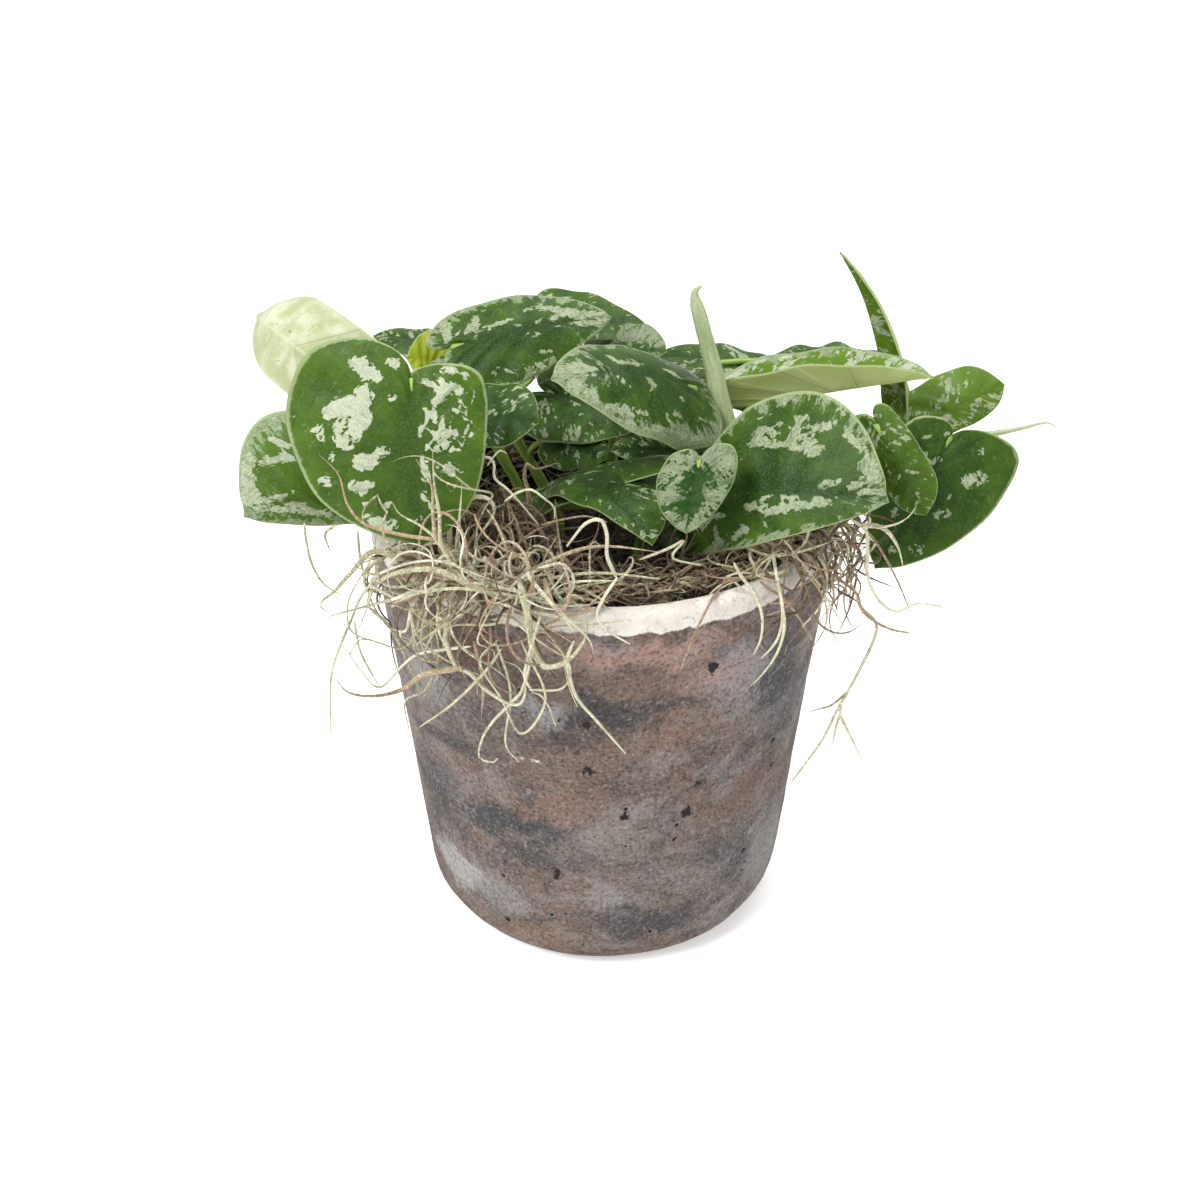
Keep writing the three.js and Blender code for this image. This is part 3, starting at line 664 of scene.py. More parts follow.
def grow_blade(growth, leaf):
    """An upper and a lower sheet of the leaf, joined round its edge."""
    axes = leaf_axes(leaf)
    outline = eased(HALF_OUTLINE, (BLADE_ROWS - 1) // (len(HALF_OUTLINE) - 1))
    rows = len(outline) - 1
    tone = (leaf["silver"], leaf["yellow"], leaf["pale"])
    rims = []
    for level, slot in ((0.5, UPPER_FACE), (-0.5, UNDERSIDE)):
        grid = []
        for i, (out_x, out_y) in enumerate(outline):
            v = i / rows
            out_x *= 1 - leaf["taper"] * max(0, out_y)
            out_x += leaf["blunt"] * 0.36 * math.sin(math.pi * max(0, out_y) ** 3)
            rib_start = v ** 1.25
            line = []
            for k in range(-BLADE_COLUMNS, BLADE_COLUMNS + 1):
                if i in (0, rows) and k != 0:
                    continue
                u = math.copysign((abs(k) / BLADE_COLUMNS) ** 0.9, k)
                sign = (u > 0) - (u < 0)
                sweep = leaf["shear"] * out_x * sign * (1 - v ** 3)
                lobe = leaf["lobe"][u > 0] if out_y < 0 else 1
                s = rib_start + (out_y * lobe + sweep - rib_start) * abs(u)
                x = out_x * half_width(leaf, u > 0) * u
                groove = math.exp(-((x / 1.3) ** 2)) * (1 - 0.6 * v)
                quilt = 0.16 * math.cos(2 * math.pi * VEIN_PAIRS * v)
                quilt *= math.sin(math.pi * min(1, abs(u) * 1.05))
                raised = level * BLADE_THICKNESS * (1 - 0.55 * abs(u) ** 6)
                raised += quilt - groove * (0.45 if level > 0 else 0.75)
                plot = (x, s * axes[3] - 0.6 * abs(x), leaf["seed"])
                islands = (island_depth(leaf, *plot[:2]), bool(leaf["islands"]), leaf["haze"])
                place = leaf_point(leaf, axes, s, x, raised)
                line.append(growth.point(place, (u, v, leaf["seed"]), tone, plot, islands))
            grid.append(line)
        for i, (lower, upper) in enumerate(zip(grid, grid[1:])):
            for k in range(2 * BLADE_COLUMNS):
                if i == 0:
                    corners = (lower[0], upper[k + 1], upper[k])
                elif i == rows - 1:
                    corners = (upper[0], lower[k], lower[k + 1])
                else:
                    corners = (lower[k], lower[k + 1], upper[k + 1], upper[k])
                growth.face(corners[::-1] if level < 0 else corners, slot)
        rims.append([row[0] for row in grid] + [row[-1] for row in reversed(grid[1:-1])])
    top, under = rims
    for i in range(len(top)):
        n = (i + 1) % len(top)
        growth.face((top[i], top[n], under[n], under[i]), UPPER_FACE)


def spaced(points, count):
    """count + 1 evenly spaced points on a smooth centripetal line through points."""
    points = [Vector(p) for p in points]
    chain = [2 * points[0] - points[1], *points, 2 * points[-1] - points[-2]]
    fine = [points[0].copy()]
    for a, b, c, d in zip(chain, chain[1:], chain[2:], chain[3:]):
        t1 = max((b - a).length, 1e-6) ** 0.5
        t2 = t1 + max((c - b).length, 1e-6) ** 0.5
        t3 = t2 + max((d - c).length, 1e-6) ** 0.5
        for k in range(1, 13):
            t = t1 + (t2 - t1) * k / 12
            ab = a * (t1 - t) / t1 + b * t / t1
            bc = b * (t2 - t) / (t2 - t1) + c * (t - t1) / (t2 - t1)
            cd = c * (t3 - t) / (t3 - t2) + d * (t - t2) / (t3 - t2)
            abc = ab * (t2 - t) / t2 + bc * t / t2
            bcd = bc * (t3 - t) / (t3 - t1) + cd * (t - t1) / (t3 - t1)
            fine.append(abc * (t2 - t) / (t2 - t1) + bcd * (t - t1) / (t2 - t1))
    lengths = [0.0]
    for a, b in zip(fine, fine[1:]):
        lengths.append(lengths[-1] + (b - a).length)
    evenly = []
    k = 0
    for i in range(count + 1):
        target = lengths[-1] * i / count
        while k < len(fine) - 2 and lengths[k + 1] < target:
            k += 1
        part = (target - lengths[k]) / max(lengths[k + 1] - lengths[k], 1e-9)
        evenly.append(fine[k].lerp(fine[k + 1], min(max(part, 0), 1)))
    return evenly


def grow_rod(growth, line, sides, radius_at, slot, seed, section=lambda part, t: 1):
    """A closed rod in mm along a line. section gives each corner its share of the radius."""
    heading = (line[1] - line[0]).normalized()
    side = heading.orthogonal().normalized()
    around = [(k, (k + 1) % sides) for k in range(sides)]
    rings = []
    for i, centre in enumerate(line):
        if 0 < i < len(line) - 1:
            ahead = (line[i + 1] - line[i - 1]).normalized()
        else:
            ahead = (line[i] - line[i - 1]).normalized() if i else heading
        side = (side - ahead * side.dot(ahead)).normalized()
        other = ahead.cross(side)
        t = i / (len(line) - 1)
        ring = []
        for k in range(sides):
            angle = 2 * math.pi * k / sides
            reach = radius_at(t) * section(k / sides, t)
            place = centre + (side * math.cos(angle) + other * math.sin(angle)) * reach
            ring.append(growth.point(place, (k / sides, t, seed), (t, 0, seed)))
        rings.append(ring)
    for lower, upper in zip(rings, rings[1:]):
        for k, n in around:
            growth.face((lower[k], lower[n], upper[n], upper[k]), slot)
    start = growth.point(line[0], (0, 0, seed), (0, 0, seed))
    end = growth.point(line[-1], (0, 1, seed), (1, 0, seed))
    for k, n in around:
        growth.face((start, rings[0][n], rings[0][k]), slot)
        growth.face((end, rings[-1][k], rings[-1][n]), slot)


def petiole_girth(t):
    """Thick in its sheath at the vine, with a knee below the blade, and thin inside the rib."""
    knee = 0.28 * math.exp(-(((t - 0.86) / 0.05) ** 2))
    sheath = 0.55 * math.exp(-((t / 0.16) ** 2))
    thin = 1 if t < 0.9 else 1 - 6.5 * (t - 0.9)
    return (1.12 + knee + sheath - 0.1 * t) * thin


def grow_petiole(growth, leaf, vine):
    """A bent rod from the vine to the blade, where it runs on a little way inside the rib."""
    axes = leaf_axes(leaf)
    up = axes[1]
    i = min(int(leaf["from"] * (len(vine) - 1)), len(vine) - 2)
    start = vine[i].lerp(vine[i + 1], leaf["from"] * (len(vine) - 1) - i)
    heading = (vine[i + 1] - vine[i]).normalized()
    meet = leaf_point(leaf, axes, 0.02, 0, -0.7)
    end = leaf_point(leaf, axes, 0.12, 0, -0.7)
    arrive = ((end - meet).normalized() + up * leaf["rise"]).normalized()
    span = (meet - start).length
    a = start + heading * span * leaf["lift"]
    b = meet - arrive * span * 0.35
    line = []
    for k in range(17):
        t = k / 16
        r = 1 - t
        line.append(start * r ** 3 + a * 3 * t * r ** 2 + b * 3 * t * t * r + meet * t ** 3)
    line += [meet.lerp(end, 0.5), end]
    grow_rod(growth, line, 10, petiole_girth, STALK, leaf["seed"])


# Each stem: its vine's line in mm, and its leaves. A rolled leaf has a line and its girths.
STEMS = (
    {"name": "leafy_stem_left",
     "path": [(-36, -14, 145), (-41, -13, 160), (-50, -10, 182)],
     "leaves": [
        heart_leaf(
            0.72, (-79, -8, 197), (-117, 24, 213), (0.25, 0.8, -0.6), 34, blunt=0.8, skew=-0.1,
            bend=-95, fold=(12, 12), cup=(20, 20), rise=0.1, pale=1,
        ),
        heart_leaf(
            0.95, (-57, -52, 222), (-55, -66, 173), (-0.14, -1, 0.45), 62, bend=22, skew=0.28,
            lobe=(0.35, 1.1), blunt=0.35, rise=1.6, lift=0.15, yellow=0.12, pale=0.3,
            islands=(
                (17, -15, 15, -13, 1.5), (15, -12, 10, -6, 1.5), (18, -16, 13, -13, 0.9),
                (7, -9, 4, -6, 0.9), (17, -6, 13, -5, 1.2), (18, -3, 15, -1, 2.2),
                (18, 3, 14, 4, 2.2), (8, 1, 5, 3, 0.5), (12, 14, 9, 16, 0.9), (18, 13, 13, 15, 1.2),
                (17, 16, 13, 19, 0.9), (20, 20, 18, 20, 1.1), (15, 22, 16, 26, 0.9),
                (13, 24, 13, 25, 0.6), (10, 32, 9, 32, 0.6), (16, 31, 16, 31, 0.9),
                (14, 34, 10, 39, 1.1), (8, 38, 7, 40, 0.6), (-7, -5, -7, -5, 0.5),
                (-10, -7, -13, -10, 0.7), (-15, -8, -17, -10, 0.8), (-3, 0, -10, -4, 0.5),
                (-8, 0, -12, -4, 1), (-7, 3, -10, -1, 0.7), (-13, -4, -15, -5, 1),
                (-18, -6, -19, -7, 0.6), (-13, 3, -15, 0, 0.9), (-16, -1, -17, -1, 0.6),
                (-5, 8, -7, 7, 1.5), (-9, 7, -11, 10, 1.2), (-8, 12, -13, 9, 1.2),
                (-1, 14, -2, 15, 0.9), (-3, 12, -5, 12, 0.6), (-5, 14, -6, 15, 0.6),
                (-8, 15, -10, 15, 1.2), (-4, 18, -8, 16, 0.7), (-16, 7, -18, 6, 0.9),
                (-17, 2, -17, 4, 0.5), (-13, 13, -14, 12, 0.7), (-3, 23, -3, 28, 1.2),
                (-8, 22, -11, 21, 1.2), (-11, 19, -14, 20, 0.5), (-1, 35, -3, 33, 0.7),
                (-10, 27, -12, 25, 0.5), (-4, 36, -6, 34, 0.5), (1, 42, 0, 42, 0.6),
                (31, -4, 28, -2, 1.2), (24, -1, 23, 4, 1.2), (23, 5, 19, 8, 1), (26, 7, 25, 9, 0.9),
                (28, -1, 28, 1, 0.5), (25, -6, 14, -1, 2.6), (15, 0, 17, 6, 2.0),
                (18, 13, 12, 19, 1.3), (12, 15, 8, 17, 0.8), (16, 13, 13, 15, 1.1),
                (30, 12, 26, 15, 1), (20, 19, 17, 22, 0.9), (16, 23, 14, 24, 0.6),
                (16, 26, 16, 27, 0.8), (27, 19, 27, 19, 0.8), (37, -1, 37, 0, 0.5),
                (37, -11, 36, -10, 0.5),
            ),
        ),
        heart_leaf(
            0.6, (-73, -37, 182), (-110.5, -57, 178), (-0.1, -0.8, 0.6), 46, bend=35, fold=(-35, 8),
            cup=(-22, -30), skew=0.3, shear=0.35, yellow=0.25, pale=0.1, haze=0.22,
            islands=(
                (18, 24, 4, 38, 1.7), (20, 14, 17, 13, 1.4), (14, 23, 13, 16, 1.6),
                (13, 29, 6, 34, 1.6), (3, 35, 1, 22, 0.9), (0, 30, -3, 23, 0.7),
                (1, 38, -9, 10, 0.8), (28, 6, 26, 6, 0.5), (24, 13, 24, 8, 0.5),
            ),
        ),
        # This leaf sits in shade: its yellow below zero is painted shade.
        heart_leaf(
            0.85, (-46, -34, 199), (-20, -42, 203), (0, -0.4, 0.9), 30, blunt=0.6, skew=-0.2,
            bend=30, cup=(-30, -30), silver=0.3, yellow=-0.6,
        ),
     ]},
    {"name": "leafy_stem_back_left",
     "path": [(-30, 26, 145), (-36, 25, 160), (-46, 22, 184)],
     "leaves": [
        heart_leaf(0.97, (-52, 16, 203), (-79, 26, 205), (0, -0.05, 1), 24),
        heart_leaf(
            0.85, (-53, 10, 200), (-65, 3, 206), (0, -0.6, 0.7), 26, silver=-1.0, yellow=1.4,
        ),
        heart_leaf(0.75, (-52, 42, 180), (-82, 78, 154), (-0.3, 0.6, 0.75), 44, bend=30),
        heart_leaf(0.6, (-66, 18, 178), (-106, 44, 162), (-0.5, 0.3, 0.8), 40, bend=30, silver=0.7),
        heart_leaf(0.66, (-26, 54, 180), (-22, 98, 158), (0, 0.6, 0.8), 46, bend=30, silver=0.6),
     ]},
    {"name": "leafy_stem_centre_left",
     "path": [(-16, 4, 145), (-20, 3, 158), (-32, 2, 182)],
     "leaves": [
        heart_leaf(
            0.96, (-50, 0, 211), (3, 12, 217), (-0.1, -0.7, 0.8), 39, fold=(2, 0), cup=(-30, -35),
            skew=0.18, shear=-0.22, taper=0.25, lobe=(1, 0.1), haze=0.17,
            islands=(
                (-11, -8, -3, -2, 1.1), (-9, -5, -6, -2, 0.5), (-16, -6, -13, -2, 1.3),
                (-4, 0, -4, 3, 0.6), (-9, 4, -5, 7, 0.9), (-6, 4, -3, 8, 1), (-2, 8, -1, 8, 0.6),
                (-3, 12, -4, 13, 0.8), (-4, 14, -4, 16, 0.5), (-9, 13, -9, 13, 0.5),
                (-11, 7, -11, 7, 0.5), (-4, 18, -4, 19, 0.5), (-1, 22, -1, 23, 0.8),
                (1, 23, 2, 24, 0.6), (1, 17, 1, 19, 0.5), (3, 24, 3, 27, 0.5),
                (-1, 28, -2, 30, 0.5), (-2, 31, -2, 35, 0.5), (1, 33, 1, 36, 0.6),
                (1, 37, 1, 40, 0.5), (-7, 22, -8, 26, 0.5), (-7, 27, -4, 37, 0.9),
                (-3, 37, -1, 52, 1.2), (1, 42, 2, 51, 1.3), (11, 6, 12, 9, 0.5),
                (13, 7, 14, 10, 0.7), (13, 3, 13, 5, 0.5), (13, 13, 13, 21, 0.5),
                (15, 15, 15, 18, 0.5), (9, 22, 9, 26, 0.5), (7, -2, 7, 0, 0.5),
                (18, -3, 18, 18, 1.1),
            ),
        ),
        heart_leaf(0.6, (-14, -7, 183), (1, -18, 179), (0, -0.6, 0.7), 24, silver=0.3),
     ]},
    {"name": "leafy_stem_centre",
     "path": [(4, 14, 145), (3, 15, 162), (4, 18, 186)],
     "leaves": [
        heart_leaf(
            0.98, (-17, 36, 211), (21, 26, 202), (0.1, -0.3, 0.95), 30, taper=0.45, skew=0.1,
            cup=(-20, -20), silver=0.35,
        ),
        heart_leaf(0.88, (-5, 20, 200), (21, 6, 207), (0.1, -0.4, 0.9), 34, silver=0.9),
        heart_leaf(
            0.7, (-19, 6, 193), (12, -11, 187), (-0.2, -0.45, 0.9), 36, cup=(-30, -30), silver=0.45,
        ),
     ]},
    {"name": "leafy_stem_front",
     "path": [(12, -14, 145), (14, -17, 156), (20, -24, 170)],
     "leaves": [
        # This small leaf sits in shade: its yellow below zero and its darker silver are painted
        # shade.
        heart_leaf(
            0.97, (29, -53, 195), (25, -64, 176), (-0.12, -0.75, 0.6), 23.5, bend=20, fold=(10, 10),
            cup=(-30, -30), shear=0.2, rise=2, silver=0.86, yellow=-1.0,
        ),
        heart_leaf(
            0.5, (-23, -24, 170), (29, -40, 189), (0, 0.15, 1), 27, bend=30, fold=(5, -15),
            cup=(-30, -20), skew=0.1, silver=0.15, yellow=0.05,
        ),
        heart_leaf(
            0.4, (-12, -34, 179), (15, -64, 172), (0.15, -0.3, 1), 36, bend=75, fold=(5, 5),
            cup=(-40, -40), skew=-0.5, silver=0.4,
        ),
     ]},
    {"name": "leafy_stem_right",
     "path": [(30, -2, 145), (33, -4, 160), (41, -10, 180)],
     "leaves": [
        heart_leaf(
            0.6, (35, -38, 179), (85.5, -66, 188), (-0.3, -0.75, 0.6), 56, bend=35, fold=(6, 2),
            cup=(-25, -30), skew=-0.2, shear=-0.38, taper=0.2, rise=2, haze=0.11,
            islands=(
                (-14, 4, -19, 3, 1.6), (-14, 8, -20, 8, 1.6), (-14, 6, -14, 19, 1.2),
                (-16, 16, -23, 14, 1.5), (-23, 11, -24, 15, 0.8), (-22, -1, -23, 0, 0.9),
                (-13, 23, -13, 27, 1.8), (-17, 20, -14, 24, 1.2), (-21, 20, -21, 24, 1.5),
                (-28, 3, -31, 2, 0.8), (-25, 4, -28, 3, 0.5), (-29, 12, -31, 13, 0.8),
                (-20, 30, -16, 37, 0.9), (-15, 39, -13, 43, 0.6), (-27, 22, -26, 25, 0.9),
                (-11, 43, -6, 50, 1.8), (-1, 36, -3, 36, 0.9), (-3, 36, -4, 40, 0.9),
                (-3, 44, -4, 47, 1.1), (-2, 49, -3, 55, 1.2), (6, 10, 5, 16, 1.1),
                (7, 16, 6, 24, 1.1), (6, 21, 4, 30, 1.2), (4, 30, 2, 40, 0.9), (3, 24, 2, 29, 0.8),
                (1, 35, 0, 42, 0.6), (2, 20, 3, 19, 0.6), (0, 28, 0, 31, 0.5),
                (11, -10, 15, -15, 1), (11, -8, 9, -5, 0.8), (9, -3, 9, 0, 1.1),
                (14, -5, 18, -8, 1.3), (12, 7, 16, 0, 0.9), (13, -17, 11, -13, 0.8),
                (17, -27, 16, -22, 0.5), (11, 13, 11, 16, 0.5), (-9, 4, -10, 4, 0.5),
            ),
        ),
        heart_leaf(
            0.97, (48, 4, 189), (106, -12, 206), (0, -0.1, 1), 38, bend=4, fold=(20, 62),
            cup=(-10, 5), skew=-0.2, yellow=0.55, pale=0.2, haze=0.17,
        ),
        heart_leaf(
            0.85, (30, -15, 203), (-16, -46, 219), (0.1, -0.35, 1), 46, bend=35, fold=(-12, 8),
            cup=(-45, -45), shear=-0.05, haze=0.25,
            islands=(
                (2, 53, 2, 44, 2.7), (-3, 50, -9, 40, 1.3), (-12, 34, -13, 29, 1.1),
                (-12, 29, -14, 25, 0.8), (-13, 24, -14, 19, 0.5), (2, 41, -3, 41, 0.6),
                (-1, 34, -6, 29, 0.5), (8, 29, 4, 30, 0.7), (4, 29, 5, 21, 1.2),
                (0, 25, -5, 19, 0.6), (-6, 20, -7, 19, 0.5), (-6, 8, -8, 5, 0.5),
                (4, 12, 2, 6, 0.9), (10, 36, 6, 38, 0.9), (16, 10, 13, -1, 0.6), (13, 6, 9, 3, 0.6),
                (-12, 8, -13, 5, 0.5), (-14, 11, -15, 9, 0.6), (-13, 2, -13, 2, 0.8),
                (-12, -4, -12, -10, 0.6), (-16, 28, -17, 21, 0.6), (-18, 17, -18, 8, 0.9),
                (-17, 5, -17, 1, 0.7), (-18, -2, -18, -4, 0.5), (-11, 44, -19, 24, 1),
                (-20, 23, -18, -12, 0.7),
            ),
        ),
        heart_leaf(0.7, (30, -13, 178), (2, -19, 183), (0, -0.35, 0.9), 22, silver=0.5),
        {
            "roll": [(37, -7, 172), (41, -9, 183), (38, -6, 195), (35, -5, 208), (31, -4, 222),
            (29, -3, 231), (31, -3, 233)],
            "girths": [1.7, 2.6, 3.2, 3.4, 3.3, 3.0, 2.7, 2.6, 2.2, 0.5],
        },
     ]},
    {"name": "leafy_stem_far_right",
     "path": [(46, 12, 145), (52, 11, 164), (72, 8, 177), (98, 4, 175)],
     "leaves": [
        heart_leaf(
            0.7, (103, 10, 186), (78, 24, 235), (-0.9, -0.45, 0), 19, bend=-50, fold=(35, 35),
            cup=(0, 0), rise=0.1, silver=0.6, yellow=0.5, taper=0.6, wave=0.3,
        ),
        heart_leaf(
            0.97, (104, 1, 181), (135, 10, 194), (0, -0.6, 0.8), 21, blunt=1, skew=-0.3, bend=20,
            fold=(5, -20), cup=(-20, -10), silver=0.4, yellow=0.45,
        ),
        heart_leaf(
            0.9, (115, -8, 183), (90, -28, 144), (0.05, -0.9, 0.35), 42, bend=15, cup=(-20, -20),
            skew=-0.22, lobe=(0.5, 0.5), shear=0.1, yellow=-0.3,
            islands=(
                (9, 0, 7, 0, 0.8), (6, 7, 5, 8, 1), (3, 9, 0, 8, 0.8), (1, 10, 0, 10, 0.8),
                (2, 0, 2, -1, 0.5), (-11, 4, -13, 2, 1.7), (-15, -2, -17, -4, 1.2),
                (-8, 11, -9, 13, 0.6), (-8, 20, -9, 19, 1), (-10, 17, -12, 16, 0.9),
                (-6, 35, -7, 33, 0.5), (-8, 34, -10, 31, 0.8), (-1, 42, -3, 40, 0.8),
                (-8, 27, -8, 27, 0.5), (-11, 24, -11, 24, 0.5), (-10, -6, -12, -8, 0.5),
                (5, 28, 4, 30, 1),
            ),
        ),
        heart_leaf(
            0.6, (87, -24, 194), (102, -42, 171), (-0.1, -0.9, 0.4), 17, blunt=1, taper=-0.3,
            bend=30, fold=(-5, -35), cup=(-30, -20), silver=0.5, yellow=0.2,
        ),
        {
            "roll": [(95, 4, 175), (112, 4, 176), (128, 0, 180), (138, -4, 184), (147, -6, 187),
            (150, -6, 185)], "girths": [1.4, 1.6, 1.5, 1.5, 1.4, 1.3, 1.1, 0.8, 0.5, 0.2],
        },
     ]},
    {"name": "leafy_stem_back",
     "path": [(20, 34, 145), (22, 36, 160), (26, 40, 178)],
     "leaves": [
        heart_leaf(0.9, (55, 45, 184), (18, 55, 186), (0.05, -0.1, 1), 32, silver=0.5),
        heart_leaf(0.8, (33, 30, 187), (62, 38, 181), (0.1, 0, 1), 26, silver=0.7),
        heart_leaf(
            0.97, (96, 58, 183), (58, 56, 183), (0, 0, 1), 30, bend=20, cup=(-20, -20), silver=0.3,
            wave=1.3,
        ),
        heart_leaf(0.7, (14, 58, 176), (24, 100, 154), (0.1, 0.6, 0.8), 44, bend=30),
        heart_leaf(0.6, (44, 50, 172), (72, 86, 150), (0.4, 0.6, 0.7), 44, bend=30, silver=0.65),
        heart_leaf(0.45, (-6, 64, 172), (0, 96, 138), (0, 0.9, 0.4), 34, silver=0.45),
     ]},
)

# Side veins: eight arching pairs, and the fine grain of the skin over them.
veins = Effect(
    "veined_leaf_skin",
    (("Place", "Vector"), ("Blade", "Vector")),
    (("Between veins", "Float"), ("Grain", "Float"), ("From rib", "Float"), ("Down", "Float"),
     ("Streaks", "Float")),
)
skin_u, skin_v, skin_seed = veins.split(veins.given["Blade"])
vein_waves = veins.sum("COSINE", veins.times(skin_v, VEIN_PAIRS * 2 * math.pi))
streak_place = veins.compose(veins.times(skin_u, 2.4), veins.times(skin_v, 34), skin_seed)
veins.give(
    Between_veins=veins.between(vein_waves, -1, 1),
    Grain=veins.cloud(veins.given["Place"], 1500, 2, 0.7),
    From_rib=veins.sum("ABSOLUTE", skin_u),
    Down=skin_v,
    Streaks=veins.cloud(streak_place, 1.0, 4, 0.7),
)

# The upper face. Silver blotches are whole cells of a fine mosaic, gathered in
# ragged islands and drawn out along the side veins.
upper = Finish("pothos_upper_face", 0.46, 0.16)
face = upper.use(veins, Place=upper.place(), Blade=upper.label("blade"))
from_rib, streaks, skin_grain = face["From rib"], face["Streaks"], face["Grain"]
silver_share, yellowness, paleness = upper.split(upper.label("tone"))
laid_depth, laid_out, haze = upper.split(upper.label("islands"))
mosaic_place = upper.stretched(upper.label("plot"), (0.44, 0.66, 7.3))
jitter = upper.cloud(mosaic_place, 0.8, 4, 0.5, 0, "Color")
ragged = upper.shaken(mosaic_place, jitter, (1.5, 1.5, 0))
mosaic = upper.cells(ragged, 1.0, "MANHATTAN")
patch = upper.cloud(upper.stretched(mosaic["Position"], (0.20, 0.18, 1.0)), 1.0, 2.0, 0.5)
stray = upper.split(mosaic["Color"])[0]
silveriness = upper.sum("MULTIPLY_ADD", stray, 0.09, patch)
silveriness = upper.sum("MULTIPLY_ADD", silver_share, 0.15, silveriness)
# Heavily silvered leaves carry most of it as a streaked band round a dark middle.
heavy = upper.between(silver_share, 0.7, 0.95)
band = upper.times(upper.between(from_rib, 0.12, 0.5, -0.16, 0.15), heavy)
streaky = upper.times(upper.between(streaks, 0.3, 0.7, 0.16, -0.16), heavy)
silveriness = upper.plus(silveriness, upper.plus(band, streaky))
blotch = upper.between(silveriness, 0.696, 0.704)
# The best-lit leaves have their islands laid out one by one, with ragged edges.
laid_blotch = upper.between(upper.sum("MULTIPLY_ADD", stray, 1.2, laid_depth), 0.48, 0.58)
blotch = upper.times(blotch, upper.sum("SUBTRACT", 1.0, laid_out))
blotch = upper.sum("MAXIMUM", blotch, laid_blotch)
off_edge = upper.sum("MAXIMUM", upper.between(from_rib, 0.97, 0.93), heavy)
blotch = upper.times(blotch, upper.times(upper.between(from_rib, 0.04, 0.10), off_edge))
freckles = upper.cells(upper.stretched(ragged, (1.9, 1.6, 1.0), shift=(4, 9, 2)), 1.0, "MANHATTAN")
freckle = upper.sum("MULTIPLY_ADD", silver_share, 0.07, upper.split(freckles["Color"])[1])
freckle = upper.between(freckle, 0.982, 0.988)
freckle = upper.times(freckle, upper.between(from_rib, 0.15, 0.6, 0.0, 0.85))
freckle = upper.times(freckle, upper.between(laid_out, 0.0, 1.0, 1.0, 0.12))
silver_mask = upper.sum("MAXIMUM", blotch, freckle)

shade = upper.cloud(upper.stretched(mosaic_place, (0.22, 0.15, 1)), 1.0, 4, 0.6)
bright_side = upper.between(from_rib, 0.35, 1.0)
bright_side = upper.times(bright_side, upper.between(shade, 0.3, 0.6, 0.3, 1))
# A painted sheen, grey with dark streaks, runs along the edge and over the tip of some leaves.
edgeward = upper.sum("MAXIMUM", from_rib, upper.sum("MULTIPLY_ADD", face["Down"], 1.3, -0.27))
painted_sheen_mask = upper.plus(upper.plus(edgeward, haze), upper.between(streaks, 0.36, 0.64, -0.14, 0.14))
painted_sheen_mask = upper.times(upper.between(painted_sheen_mask, 0.98, 1.06, 0, 0.8), upper.between(haze, 0.0, 0.08))
grainy = upper.between(skin_grain, 0.35, 0.62)
green = upper.coats(
    upper.blend(face["Between veins"], (0.013, 0.039, 0.003), (0.023, 0.059, 0.005)),
    (upper.between(shade, 0.38, 0.64, 0, 0.8), (0.046, 0.100, 0.006)),
    (upper.times(bright_side, 0.6), (0.075, 0.145, 0.009)),
    (upper.between(from_rib, 0.34, 0.0, 0, 0.75), (0.008, 0.031, 0.004)),
    (upper.between(streaks, 0.42, 0.62, 0.35, 0), (0.008, 0.032, 0.004)),
    (upper.between(skin_grain, 0.46, 0.66, 0, 0.5), (0.075, 0.125, 0.032)),
    (upper.times(yellowness, 0.8), (0.150, 0.270, 0.010)),
    (upper.between(yellowness, 1.0, 1.5, 0, 0.9), (0.26, 0.30, 0.012)),
    # Painted shade: a yellow below zero darkens a leaf that sits in shade.
    (upper.between(yellowness, 0.0, -1.0, 0, 0.8), (0.012, 0.048, 0.002)),
    # the painted sheen over the edge and tip
    (painted_sheen_mask, upper.blend(grainy, (0.14, 0.19, 0.095), (0.29, 0.34, 0.21))),
)
dark_streak = upper.times(
    upper.between(streaks, 0.50, 0.36), upper.sum("MULTIPLY_ADD", heavy, 0.5, 0.4),
)
silver = upper.coats(
    upper.blend(grainy, (0.12, 0.165, 0.075), (0.32, 0.365, 0.225)),
    (upper.between(shade, 0.40, 0.62, 0, 0.4), (0.38, 0.42, 0.30)),
    # Painted shade: heavily silvered leaves get a darker silver, because the small front leaf sits
    # in shade.
    (upper.times(heavy, 0.7), (0.14, 0.175, 0.10)),
    (paleness, (0.72, 0.75, 0.60)),
    (dark_streak, (0.05, 0.09, 0.03)),
)
margin_start = upper.sum("MULTIPLY_ADD", upper.cloud(mosaic_place, 1.0, 3, 0.6), 0.05, 0.940)
margin = upper.between(upper.sum("SUBTRACT", from_rib, margin_start), -0.012, 0.014)
leaf_upper = upper.wear(
    upper.coats(
        green,
        (silver_mask, silver),
        (upper.times(margin, 0.75), (0.32, 0.39, 0.19)),
        (upper.between(face["Down"], 0.976, 0.996), (0.20, 0.10, 0.03)),
    ),
    upper.relief(
        (face["Between veins"], 0.0007, 0.25), (streaks, 0.0006, 0.35),
        (skin_grain, 0.00022, 0.5), (silver_mask, 0.00022, 0.35),
    ),
    upper.between(silver_mask, 0, 1, 0.44, 0.56),
)

